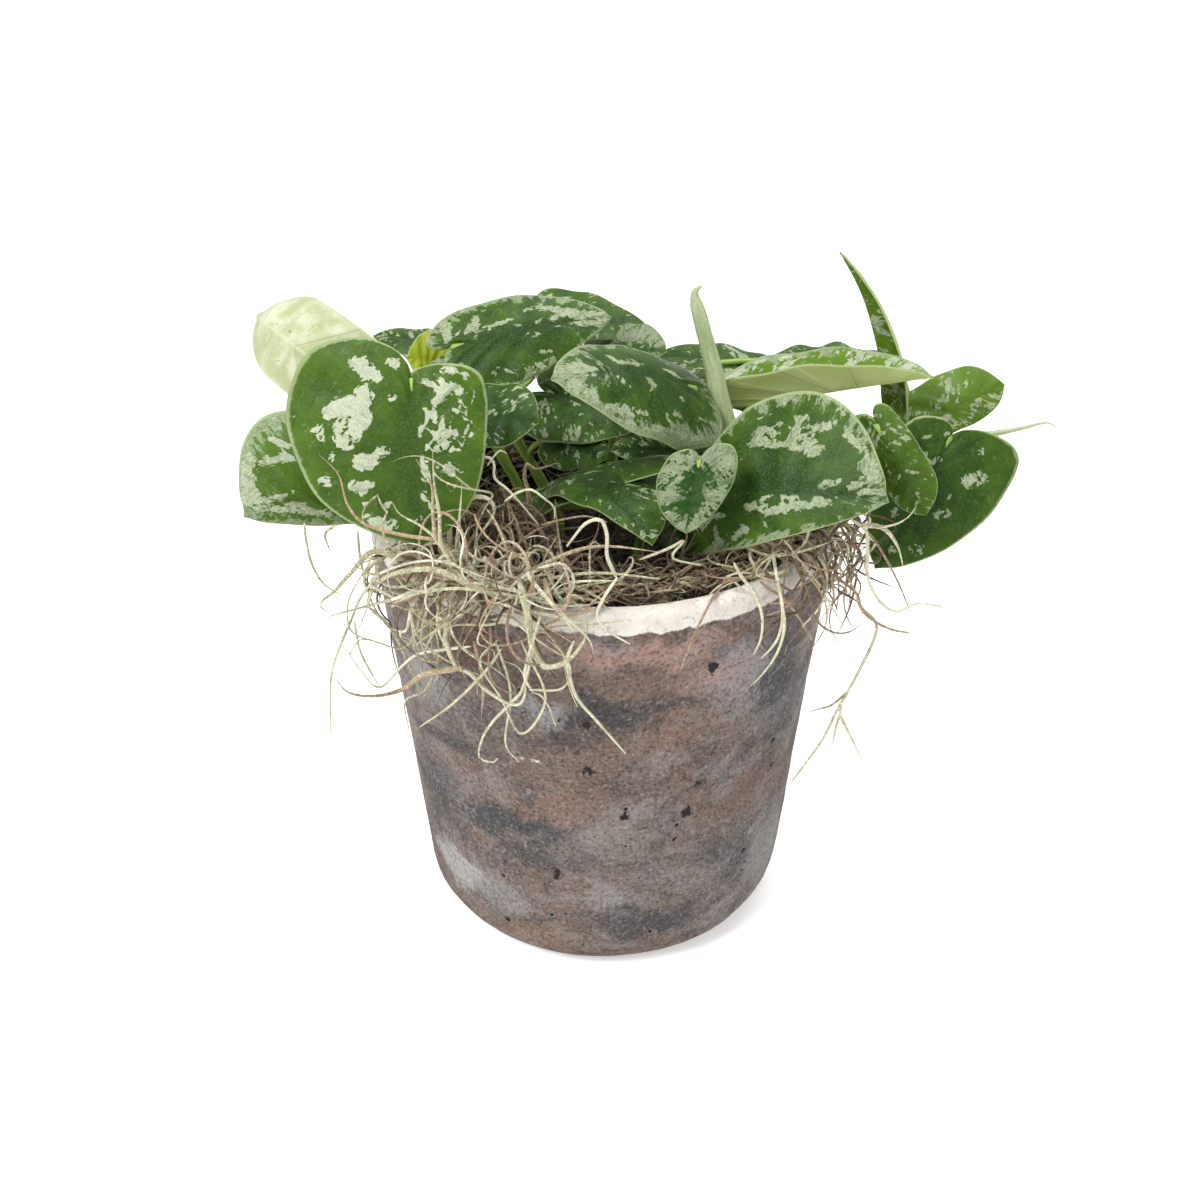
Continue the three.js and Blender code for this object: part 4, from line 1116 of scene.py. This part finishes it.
# The underside: matt grey-green, paler along the raised midrib and side veins. A
# leaf that grew in deep shade stays cream on its back, with a few rusty marks.
lower = Finish("pothos_underside", 0.62, 0.3)
back = lower.use(veins, Place=lower.place(), Blade=lower.label("blade"))
_, yellowness, paleness = lower.split(lower.label("tone"))
vein_lines = lower.between(back["Between veins"], 0.14, 0.0)
cloudy = lower.cloud(lower.place(), 90, 4, 0.6)
rib_tint = lower.blend(paleness, (0.36, 0.46, 0.20), (0.50, 0.52, 0.36))
rust = lower.stretched(lower.label("plot"), (0.5, 0.35, 1), shift=(3, 1, 0))
rust = lower.cloud(rust, 0.8, 5, 0.75)
rust = lower.times(lower.between(rust, 0.635, 0.655), lower.between(paleness, 0.7, 0.9, 0, 0.8))
leaf_under = lower.wear(
    lower.coats(
        lower.blend(lower.between(cloudy, 0.35, 0.65), (0.20, 0.29, 0.10), (0.30, 0.38, 0.16)),
        (paleness,
         lower.blend(lower.between(cloudy, 0.38, 0.64), (0.35, 0.38, 0.20), (0.53, 0.54, 0.40))),
        (lower.times(yellowness, 0.9), (0.47, 0.53, 0.15)),
        (lower.times(vein_lines, 0.25), rib_tint),
        (lower.between(back["From rib"], 0.05, 0.01, 0, 0.7), rib_tint),
        (lower.between(back["From rib"], 0.93, 0.99, 0, 0.7), (0.50, 0.56, 0.33)),
        (rust, (0.22, 0.15, 0.07)),
    ),
    lower.relief(
        (back["Grain"], 0.0002, 0.5), (back["Streaks"], 0.0005, 0.3), (vein_lines, 0.0005, 0.5),
    ),
)

# Fibres: long streaks that run the length of a stalk or a rolled leaf.
fibres = Effect(
    "lengthwise_fibres",
    (("Blade", "Vector"), ("Round", "Float"), ("Along", "Float"), ("Dark", "Color"),
     ("Light", "Color")),
    (("Colour", "Color"), ("Height", "Float"), ("Round it", "Float"), ("Along it", "Float")),
)
fibre_round, fibre_along, fibre_seed = fibres.split(fibres.given["Blade"])
fibre = fibres.cloud(fibres.compose(
    fibres.times(fibre_round, fibres.given["Round"]),
    fibres.times(fibre_along, fibres.given["Along"]), fibre_seed,
), 1.0, 4, 0.65)
fibres.give(
    Colour=fibres.blend(
        fibres.between(fibre, 0.35, 0.65), fibres.given["Dark"], fibres.given["Light"],
    ),
    Height=fibre, Round_it=fibre_round, Along_it=fibre_along,
)

# Petioles and vines: fleshy yellow-green, browner where they leave the vine.
flesh = Finish("petiole_green", 0.42, 0.4)
stalk = flesh.use(
    fibres, Blade=flesh.label("blade"), Round=12.0, Along=2.5,
    Dark=(0.15, 0.25, 0.030), Light=(0.29, 0.41, 0.08),
)
near_vine = flesh.between(stalk["Along it"], 0.25, 0.0, 0, 0.7)
petiole_green = flesh.wear(
    flesh.blend(near_vine, stalk["Colour"], (0.14, 0.11, 0.04)),
    flesh.relief((stalk["Height"], 0.0003, 0.4)),
)

# Young leaves still rolled: pale green with a darker line where the edge laps.
furled = Finish("rolled_leaf_green", 0.5, 0.35)
roll = furled.use(
    fibres, Blade=furled.label("blade"), Round=10.0, Along=5.0,
    Dark=(0.28, 0.36, 0.16), Light=(0.43, 0.49, 0.28),
)
off_lap = furled.sum("ABSOLUTE", furled.sum("SUBTRACT", roll["Round it"], 0.96))
lap = furled.times(furled.between(off_lap, 0.035, 0.01), 0.6)
furled_colour = furled.blend(lap, roll["Colour"], (0.11, 0.20, 0.05))
mealy = furled.use(grit, Place=furled.place(), Colour=furled_colour, Fineness=1500.0, Strength=0.25)
rolled_green = furled.wear(mealy["Colour"], furled.relief((roll["Height"], 0.0003, 0.4)))


def vine_girth(t):
    return 2.25 * (1 - 0.25 * t) * (1 + 0.08 * math.sin(21 * t))


leafy_surfaces = []
leaf_number = 0
for stem in STEMS:
    growth = Growth()
    x, y, _ = stem["path"][0]
    vine = spaced(stem["path"], 40)
    rooted = spaced([(x, y, STEM_FOOT), (x, y, 126), *stem["path"]], 30)
    grow_rod(growth, rooted, 12, vine_girth, STALK, 0.3)
    for leaf in stem["leaves"]:
        leaf_number += 1
        leaf["seed"] = leaf_number * 1.37
        if "roll" in leaf:
            girths = eased([(girth,) for girth in leaf["girths"]], 8)
            grow_rod(
                growth, spaced(leaf["roll"], 56), 28,
                lambda t: girths[round(t * (len(girths) - 1))][0],
                ROLLED, leaf["seed"], lambda part, t: 0.86 + 0.16 * part,
            )
        else:
            grow_blade(growth, leaf)
            grow_petiole(growth, leaf, vine)
    piece = new_object(
        stem["name"] + "_fine", growth.mesh(stem["name"] + "_fine"),
        leaf_upper, leaf_under, petiole_green, rolled_green,
    )
    leafy_surfaces.append(piece)
    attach(piece, "root")
    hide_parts(stem["name"])

# ---------------------------------------------------------------------------
# Spanish moss: dry curling threads a millimetre thick, laid loose. A brown bed
# covers the soil, a pale beard hangs over the rim at the front left, and a
# smaller tuft hangs at the right.
THREAD_RADIUS = 0.5
THREAD_CLEARANCE = 0.9
POT_RIM = 157.4
solid_points = []
solid_faces = []
for piece in [cover_pot, nursery_pot, soil, *leafy_surfaces]:
    base = len(solid_points)
    solid_points += [v.co.copy() for v in piece.data.vertices]
    solid_faces += [[base + i for i in p.vertices] for p in piece.data.polygons]
obstacles = BVHTree.FromPolygons(solid_points, solid_faces)


def blocked(a, b):
    step = b - a
    hit = obstacles.ray_cast(a * MM, step.normalized(), (step.length + THREAD_CLEARANCE) * MM)
    return hit[0] is not None


def no_room(p):
    """True in the clay, in the soil, and past the farthest reach of the plant."""
    across = math.hypot(p.x, p.y)
    if p.x < -119 or p.x > 148 or p.y < -119 or p.z > 231:
        return True
    if p.z > POT_RIM:
        return False
    outer = 64.5 + 15.5 * min(1, max(0, p.z) / 156) + 1.6
    inner = 67.4 if p.z > 141 else 0
    return inner < across < outer or p.z < 141.5 and across < outer


def jolt(rng):
    return Vector([rng.gauss(0, 1) for _ in range(3)])


def lay_thread(rng, start, heading, length, weight, curl, step=2.0, shape=None, wander=0.10):
    """A wandering thread in mm that turns away from whatever it would run into."""
    line = [start]
    heading = heading.normalized()
    axis = Vector([rng.uniform(-1, 1) for _ in range(3)]).normalized()
    rate = rng.uniform(0.15, 1.0) * curl * rng.choice((-1, 1))
    for _ in range(int(length / step)):
        axis = (axis + wander * jolt(rng)).normalized()
        heading = Matrix.Rotation(rate, 3, axis) @ heading
        heading.z -= weight
        if shape:
            heading += shape(line[-1])
        heading.normalize()
        ahead = heading
        for attempt in range(7):
            target = line[-1] + ahead * step
            if not no_room(target) and not blocked(line[-1], target):
                break
            ahead = (heading + jolt(rng) * (0.5 + 0.25 * attempt)).normalized()
        else:
            break
        heading = ahead
        line.append(target)
    return line


def round_point(degrees, radius, height):
    turn = math.radians(degrees)
    return Vector((radius * math.cos(turn), radius * math.sin(turn), height))


def outward(p):
    return Vector((p.x, p.y, 0)).normalized()


def bed_top(x, y):
    """The bed lies level with the rim, with a heap at the front left."""
    return 156.5 + 25 * math.exp(-((x + 33) ** 2 + (y + 47) ** 2) / (2 * 11.0 ** 2))


def bed_pull(p):
    pull = Vector((0, 0, 0))
    across = math.hypot(p.x, p.y)
    if p.z > bed_top(p.x, p.y):
        pull.z -= 0.6
    if p.z < 144:
        pull.z += 0.6
    if across < 47 and p.z < 160:
        pull += outward(p) * 0.35
    if across > 66:
        pull -= outward(p) * 0.4
    return pull


def hug(p):
    """Threads that hang outside are drawn back towards the pot's wall."""
    return -outward(p) * max(0, min(0.5, 0.03 * (math.hypot(p.x, p.y) - 88)))


def bed_threads(rng, count):
    for i in range(count):
        if i % 8 < 3:
            x = rng.gauss(-31, 9)
            y = rng.gauss(-47, 7)
            start = Vector((x, y, rng.uniform(150, bed_top(x, y) + 3)))
            reach = rng.uniform(20, 50)
        elif i % 8 < 6:
            start = round_point(rng.uniform(-125, -20), rng.uniform(52, 68), rng.uniform(147, 158))
            reach = rng.uniform(40, 95)
        else:
            start = round_point(rng.uniform(-20, 235), rng.uniform(50, 66), rng.uniform(145, 156))
            reach = rng.uniform(24, 60)
        if no_room(start):
            continue
        side = Vector((-start.y, start.x, 0)).normalized() * rng.choice((-1, 1))
        heading = side + Vector((rng.gauss(0, 0.4), rng.gauss(0, 0.4), rng.uniform(-0.1, 0.45)))
        tint = rng.choice((0.04, 0.12, 0.20, 0.26, 0.34, 0.38, 0.42, 0.45, 0.7))
        line = lay_thread(rng, start, heading, reach, 0.03, 0.22, 2.2, bed_pull)
        yield line, tint, rng.uniform(0.5, 1.2), rng.random() < 0.35


def beard_threads(rng, count):
    tints = (0.14, 0.3, 0.40, 0.44, 0.56, 0.62, 0.68, 0.75, 0.84, 0.92, 0.98)
    for i in range(count):
        angle = rng.triangular(-152, -94, -126)
        start = round_point(angle, rng.uniform(70, 79), rng.uniform(158, 168))
        out = round_point(angle + rng.uniform(-45, 45), 1, 0)
        heading = out + Vector((rng.gauss(0, 0.5), rng.gauss(0, 0.4), rng.uniform(-0.4, 0.5)))
        long_one = i % 3 == 0
        tint = rng.choice(tints[:9] if long_one else tints)
        reach = rng.uniform(40, 80) if long_one else rng.uniform(16, 48)
        weight = rng.uniform(0.02, 0.08)
        curl = 0.28 if long_one else 0.42
        line = lay_thread(rng, start, heading, reach, weight, curl, 2.0, hug, 0.05)
        girth = rng.uniform(0.6, 1.0) if long_one else rng.uniform(0.7, 1.5)
        yield line, tint, girth, not long_one


def tuft_threads(rng, count):
    for _ in range(count):
        angle = rng.uniform(-48, -12)
        start = round_point(angle, rng.uniform(68, 78), rng.uniform(156, 166))
        out = round_point(angle + rng.uniform(-35, 35), 1, 0)
        heading = out + Vector((rng.gauss(0, 0.5), rng.gauss(0, 0.5), rng.uniform(-0.1, 0.9)))
        tint = rng.choice((0.05, 0.12, 0.2, 0.25, 0.32, 0.4, 0.55, 0.7, 0.8))
        reach = rng.uniform(18, 58)
        weight = rng.uniform(0.04, 0.14)
        line = lay_thread(rng, start, heading, reach, weight, 0.34, 2.0, hug, 0.06)
        yield line, tint, rng.uniform(0.6, 1.2), rng.random() < 0.4


# Threads laid one by one: tint from 0 brown to 1 cream, girth, 1 for a leaf
# that tapers to its tip, and the points in mm that it passes.
LAID_BED = (
    (0.9, 1.1, 0, ((-41, -58, 190), (-40, -58, 196), (-35, -58, 199), (-33, -58, 197),
        (-33, -58, 192), (-29, -58, 188), (-25, -58, 183), (-20, -58, 176))),
    (0.9, 0.7, 0, ((-35, -58, 196), (-33, -58, 199), (-31, -58, 201), (-29, -58, 200))),
    (0.22, 1.5, 1, ((-23, -56, 182), (-23, -56, 187), (-24, -56, 191), (-23, -56, 196),
        (-21, -56, 194), (-14, -56, 196))),
    (0.88, 1.0, 0, ((-30, -60, 185), (-26, -60, 188), (-22, -60, 189), (-18, -60, 186),
        (-15, -60, 183), (-15, -60, 179))),
    (0.3, 0.8, 0, ((-19, -64, 179), (-12, -64, 181), (-5, -64, 182), (1, -64, 180))),
    (0.5, 1.5, 1, ((-25, -70, 165), (-16, -70, 170), (-7, -70, 174), (1, -70, 175),
        (17, -70, 173))),
    (0.62, 1.2, 0, ((-28, -74, 160), (-16, -74, 166), (-2, -74, 168), (17, -74, 166))),
    (0.8, 1.2, 0, ((11, -62, 166), (20, -62, 170), (25, -62, 173), (21, -62, 167), (30, -62, 164))),
)
LAID_BEARD = (
    (0.62, 0.8, 0, ((-89, -72, 184), (-89, -72, 178), (-88, -72, 170), (-85, -72, 163),
        (-80, -72, 159))),
    (0.55, 1.5, 1, ((-61, -66, 168), (-70, -66, 171), (-77, -66, 164), (-83, -66, 157),
        (-88, -66, 152), (-84, -66, 148))),
    (0.7, 1.0, 1, ((-53, -66, 158), (-70, -61, 150), (-79, -66, 150), (-89, -72, 150))),
    (0.75, 0.9, 0, ((-68, -58, 160), (-78, -49, 145), (-80, -58, 142), (-83, -68, 137),
        (-86, -68, 128), (-87, -68, 120), (-88, -68, 106))),
    (0.45, 1.7, 1, ((-44, -72, 133), (-58, -64, 125), (-65, -60, 117), (-73, -67, 119),
        (-81, -72, 124), (-85, -72, 131))),
    (0.95, 0.9, 0, ((-41, -74, 142), (-48, -69, 138), (-60, -60, 130), (-65, -57, 124),
        (-72, -62, 119), (-77, -66, 128), (-81, -66, 136))),
    (0.62, 1.1, 1, ((-79, -28, 129), (-70, -42, 129), (-64, -52, 123), (-61, -54, 115),
        (-60, -55, 108))),
    (0.7, 0.8, 0, ((-78, -64, 145), (-77, -64, 134), (-72, -64, 121))),
    (0.72, 0.9, 0, ((-31, -82, 146), (-36, -78, 136), (-48, -70, 118), (-60, -61, 103))),
    (0.8, 1.4, 1, ((-48, -71, 152), (-49, -70, 142), (-46, -70, 132), (-42, -72, 131),
        (-37, -75, 127), (-30, -77, 123), (-26, -79, 124), (-24, -80, 132), (-26, -80, 138),
        (-31, -79, 140))),
    (0.72, 2.0, 1, ((-25, -84, 171), (-23, -84, 162), (-22, -85, 154), (-21, -88, 149),
        (-18, -90, 145), (-14, -90, 145), (-9, -89, 148), (-5, -86, 154), (-5, -84, 160))),
    (0.85, 1.1, 0, ((-9, -84, 150), (-11, -83, 143), (-10, -83, 135), (-8, -82, 128),
        (-2, -81, 119), (7, -80, 106))),
    (0.74, 1.0, 0, ((-22, -81, 142), (-25, -80, 130), (-29, -77, 123), (-35, -74, 114),
        (-39, -71, 105), (-40, -70, 97), (-36, -71, 96), (-34, -73, 99))),
    (0.4, 0.9, 1, ((-40, -74, 144), (-38, -74, 133), (-38, -73, 125), (-39, -71, 112))),
    (0.9, 1.1, 0, ((-30, -76, 156), (-28, -76, 164), (-25, -76, 167), (-18, -76, 171),
        (-12, -76, 172), (-9, -76, 167), (-10, -76, 162), (-14, -76, 158))),
    (0.88, 0.9, 0, ((4, -84, 172), (0, -84, 165), (-2, -84, 159), (1, -84, 154), (8, -84, 149))),
    (0.85, 1.2, 0, ((4, -72, 165), (1, -72, 173), (1, -72, 180), (-1, -72, 185), (-5, -72, 184),
        (-9, -72, 179), (-11, -72, 176))),
    (0.82, 1.4, 1, ((-47, -62, 169), (-47, -62, 176), (-46, -62, 183), (-41, -62, 187),
        (-35, -62, 187), (-33, -62, 183), (-38, -62, 174), (-41, -62, 167))),
    (0.8, 1.1, 0, ((-31, -82, 162), (-25, -82, 160), (-16, -82, 158), (-5, -82, 155),
        (6, -82, 156))),
    (0.72, 1.2, 0, ((-68, -50, 142), (-64, -60, 150), (-56, -74, 161), (-44, -80, 166),
        (-29, -80, 164), (-19, -80, 162))),
    (0.92, 0.9, 0, ((-64, -57, 148), (-73, -56, 154), (-62, -68, 167), (-49, -76, 173),
        (-37, -76, 168), (-25, -76, 163))),
    (0.66, 1.5, 1, ((-30, -78, 161), (-40, -78, 166), (-49, -78, 171), (-62, -70, 166),
        (-74, -49, 148), (-80, -31, 129))),
    (0.78, 0.8, 0, ((-25, -82, 149), (-18, -80, 126), (-26, -78, 112), (-32, -76, 124),
        (-38, -77, 139), (-32, -78, 147))),
    (0.86, 0.7, 0, ((-23, -80, 130), (-13, -81, 131), (-10, -83, 139), (-13, -83, 146),
        (-17, -83, 150))),
    (0.82, 0.8, 0, ((-33, -77, 146), (-29, -76, 127), (-31, -75, 105), (-27, -75, 99))),
    (0.64, 0.8, 0, ((-62, -59, 135), (-54, -64, 144), (-52, -64, 135), (-58, -57, 115),
        (-66, -49, 105), (-66, -45, 91))),
    (0.7, 0.7, 0, ((-57, -62, 148), (-61, -57, 134), (-65, -56, 130), (-77, -62, 137),
        (-80, -66, 134))),
    (0.72, 0.7, 0, ((-70, -60, 172), (-72, -60, 165), (-80, -60, 150), (-80, -60, 139),
        (-74, -60, 136), (-73, -60, 139))),
    (0.5, 0.8, 0, ((-81, -62, 178), (-85, -62, 175), (-84, -62, 169))),
    (0.6, 0.8, 0, ((-75, -62, 176), (-76, -55, 162), (-75, -45, 147), (-69, -45, 143))),
    (0.42, 0.9, 1, ((-46, -76, 178), (-49, -76, 180), (-60, -76, 182), (-71, -76, 186),
        (-75, -76, 192), (-77, -76, 202), (-82, -76, 208))),
    (0.48, 1.2, 1, ((-44, -77, 173), (-46, -77, 177), (-49, -77, 180), (-50, -77, 189),
        (-50, -77, 199), (-54, -77, 207))),
    (0.7, 1.1, 1, ((-45, -78, 173), (-48, -78, 180), (-48, -78, 190), (-49, -78, 199),
        (-49, -78, 210))),
    (0.75, 0.8, 1, ((-46, -76, 175), (-49, -76, 180), (-54, -76, 185), (-60, -76, 189),
        (-62, -76, 193))),
)
LAID_TUFT = (
    (0.82, 1.2, 0, ((76, -56, 177), (81, -56, 173), (82, -56, 166), (83, -56, 156), (88, -56, 147),
        (93, -56, 144), (99, -56, 147), (107, -56, 146))),
    (0.76, 1.3, 1, ((79, -56, 175), (86, -56, 174), (91, -56, 168), (94, -56, 159))),
    (0.3, 0.8, 0, ((82, -52, 171), (85, -52, 167), (91, -52, 157), (95, -52, 149), (98, -52, 142))),
    (0.35, 1.2, 0, ((63, -54, 162), (69, -50, 156), (77, -46, 149), (81, -50, 147), (82, -54, 144),
        (87, -54, 139), (93, -54, 136), (98, -54, 135))),
    (0.72, 1.0, 0, ((82, -50, 143), (88, -50, 136), (88, -50, 131), (85, -50, 121), (81, -50, 110),
        (78, -50, 103), (74, -49, 90), (65, -47, 71))),
    (0.72, 1.0, 1, ((79, -50, 106), (79, -50, 101), (83, -50, 92), (89, -50, 80))),
    (0.5, 0.7, 1, ((81, -50, 110), (76, -48, 103), (71, -45, 99), (66, -47, 98))),
    (0.7, 0.8, 1, ((79, -50, 101), (78, -50, 96), (77, -50, 86))),
    (0.85, 1.1, 0, ((40, -64, 166), (42, -64, 162), (47, -65, 155), (49, -68, 150), (49, -69, 142),
        (47, -69, 136))),
    (0.35, 0.9, 0, ((48, -62, 159), (51, -62, 156), (56, -61, 152), (62, -56, 142),
        (68, -49, 129))),
    (0.15, 0.9, 0, ((68, -50, 181), (77, -50, 175), (82, -50, 170), (80, -50, 163), (82, -50, 159),
        (78, -50, 151))),
    (0.2, 1.0, 0, ((75, -50, 181), (73, -50, 175), (76, -50, 168), (81, -50, 162), (79, -45, 153),
        (76, -41, 146), (78, -45, 146))),
    (0.12, 1.0, 0, ((80, -52, 182), (76, -52, 175), (72, -52, 171), (70, -49, 162), (74, -46, 153),
        (78, -49, 153))),
    (0.25, 0.9, 0, ((83, -50, 181), (82, -50, 174), (79, -50, 170), (77, -50, 159), (82, -50, 150),
        (81, -50, 145))),
)


def thread_tree(material):
    """Turns each line of points into a round thread as thick as its points say."""
    grow = Effect(
        "moss_threads",
        (("Threads", "Geometry"), ("Thread radius", "Float"), ("Sides", "Int")),
        (("Threads", "Geometry"),), "GeometryNodeTree",
    )
    lines = grow.add("GeometryNodeMeshToCurve", {"Mesh": grow.given["Threads"]}).outputs["Curve"]
    girth = grow.add("GeometryNodeInputNamedAttribute", {"Name": "girth"}, data_type="FLOAT")
    section = grow.add("GeometryNodeCurvePrimitiveCircle", {
        "Resolution": grow.given["Sides"], "Radius": 1.0,
    }).outputs["Curve"]
    tube = grow.add("GeometryNodeCurveToMesh", {
        "Curve": lines, "Profile Curve": section, "Fill Caps": True,
        "Scale": grow.times(girth.outputs["Attribute"], grow.given["Thread radius"]),
    }).outputs["Mesh"]
    real = grow.add("GeometryNodeRealizeInstances", (tube,)).outputs["Geometry"]
    smooth = grow.add("GeometryNodeSetShadeSmooth", {"Geometry": real}).outputs[0]
    paint = grow.add("GeometryNodeSetMaterial", {"Geometry": smooth, "Material": material})
    grow.give(Threads=paint.outputs["Geometry"])
    return grow.tree


# Dry moss: grey-green threads felted with pale scales, ageing to brown. Inside the pot,
# below the rim, the threads are darkened with painted shade.
moss = Finish("dry_spanish_moss", 0.85, 0.25)
moss_place = moss.place()
moss_x, moss_y, moss_z = moss.split(moss_place)
moss_out = moss.sum("SQRT", moss.sum("MULTIPLY_ADD", moss_x, moss_x, moss.times(moss_y, moss_y)))
# Painted shade: threads inside the pot and below the rim are darkened.
painted_shade_inside_pot = moss.times(moss.between(moss_out, 0.074, 0.069), moss.between(moss_z, 0.156, 0.144))
patchy = moss.between(moss.cloud(moss_place, 150, 3, 0.6), 0.48, 0.62, 0, 0.45)
scales = moss.cloud(moss_place, 1100, 4, 0.75)
moss_tint = moss.label("tint", "Fac")
felt = moss.times(moss.between(scales, 0.50, 0.62), moss.between(moss_tint, 0.1, 0.7, 0.12, 0.75))
moss_colour = moss.coats(
    moss.ramp(moss_tint, (
        (0.0, (0.040, 0.025, 0.016)), (1.0, (0.74, 0.70, 0.56)), (0.22, (0.15, 0.092, 0.052)),
        (0.42, (0.38, 0.25, 0.14)), (0.55, (0.30, 0.28, 0.14)), (0.70, (0.42, 0.41, 0.24)),
        (0.84, (0.58, 0.56, 0.38)),
    )),
    # the painted shade inside the pot, below the rim
    (moss.times(painted_shade_inside_pot, 0.8), (0.035, 0.022, 0.013)),
    (patchy, (0.20, 0.135, 0.075)),
    (felt, (0.82, 0.80, 0.68)),
    (moss.between(moss.label("run", "Fac"), 0.9, 1.0, 0, 0.5), (0.42, 0.33, 0.20)),
)
moss.shader["Sheen Weight"].default_value = 0.35
moss.shader["Sheen Roughness"].default_value = 0.4
spanish_moss = moss.wear(moss_colour, moss.relief((scales, 0.0004, 0.8)))

# Each tangle: its loose threads' rule, count and seed, its sides, the threads
# laid one by one and how much stouter those are.
TANGLES = (
    ("moss_bed", bed_threads, 600, 71, 5, LAID_BED, 0.9),
    ("moss_beard", beard_threads, 120, 83, 6, LAID_BEARD, 1.15),
    ("moss_tuft", tuft_threads, 80, 97, 6, LAID_TUFT, 1.1),
)
moss_tree = thread_tree(spanish_moss)
for name, threads, count, seed, sides, laid, stoutness in TANGLES:
    rng = random.Random(seed)
    lines = []
    for line, tint, girth, tapers in threads(rng, count):
        if len(line) < 5:
            continue
        lines.append((line, tint, girth, tapers))
        for _ in range(rng.choice((0, 0, 1, 1, 2))):
            at = rng.randrange(2, len(line) - 1)
            side = (line[at + 1] - line[at]) * 1.5 + jolt(rng)
            twig = lay_thread(rng, line[at], side, rng.uniform(10, 30), 0.02, 0.28, 1.8, None, 0.05)
            if len(twig) > 3:
                lines.append((twig, tint + rng.uniform(-0.1, 0.1), girth * 0.8, True))
    for tint, girth, tapers, points in laid:
        length = sum((Vector(b) - Vector(a)).length for a, b in zip(points, points[1:]))
        lines.append((spaced(points, max(8, round(length / 1.8))), tint, girth * stoutness, tapers))
    corners = []
    edges = []
    labels = {"tint": [], "run": [], "girth": []}
    for line, tint, girth, tapers in lines:
        first = len(corners)
        for i, p in enumerate(line):
            run = i / (len(line) - 1)
            lumps = 1 + 0.12 * noise.noise(p * 0.9)
            swell = 1.15 * (1 - run ** 1.6) ** 0.8 if tapers else 0.95 * (1 - 0.55 * run ** 3)
            thickness = girth * lumps * max(0.12, swell * min(1, 0.5 + run * 6))
            corners.append(p * MM)
            for label, value in zip(labels.values(), (tint, run, thickness)):
                label.append(value)
        edges += [(k, k + 1) for k in range(first, len(corners) - 1)]
    mesh = bpy.data.meshes.new(name + "_fine")
    mesh.from_pydata(corners, edges, [])
    for label, values in labels.items():
        mesh.attributes.new(label, "FLOAT", "POINT").data.foreach_set("value", values)
    tangle = new_object(name + "_fine", mesh)
    settle(tangle, moss_tree, {"Thread radius": THREAD_RADIUS * MM, "Sides": sides})
    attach(tangle, "root")
    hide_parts(name)
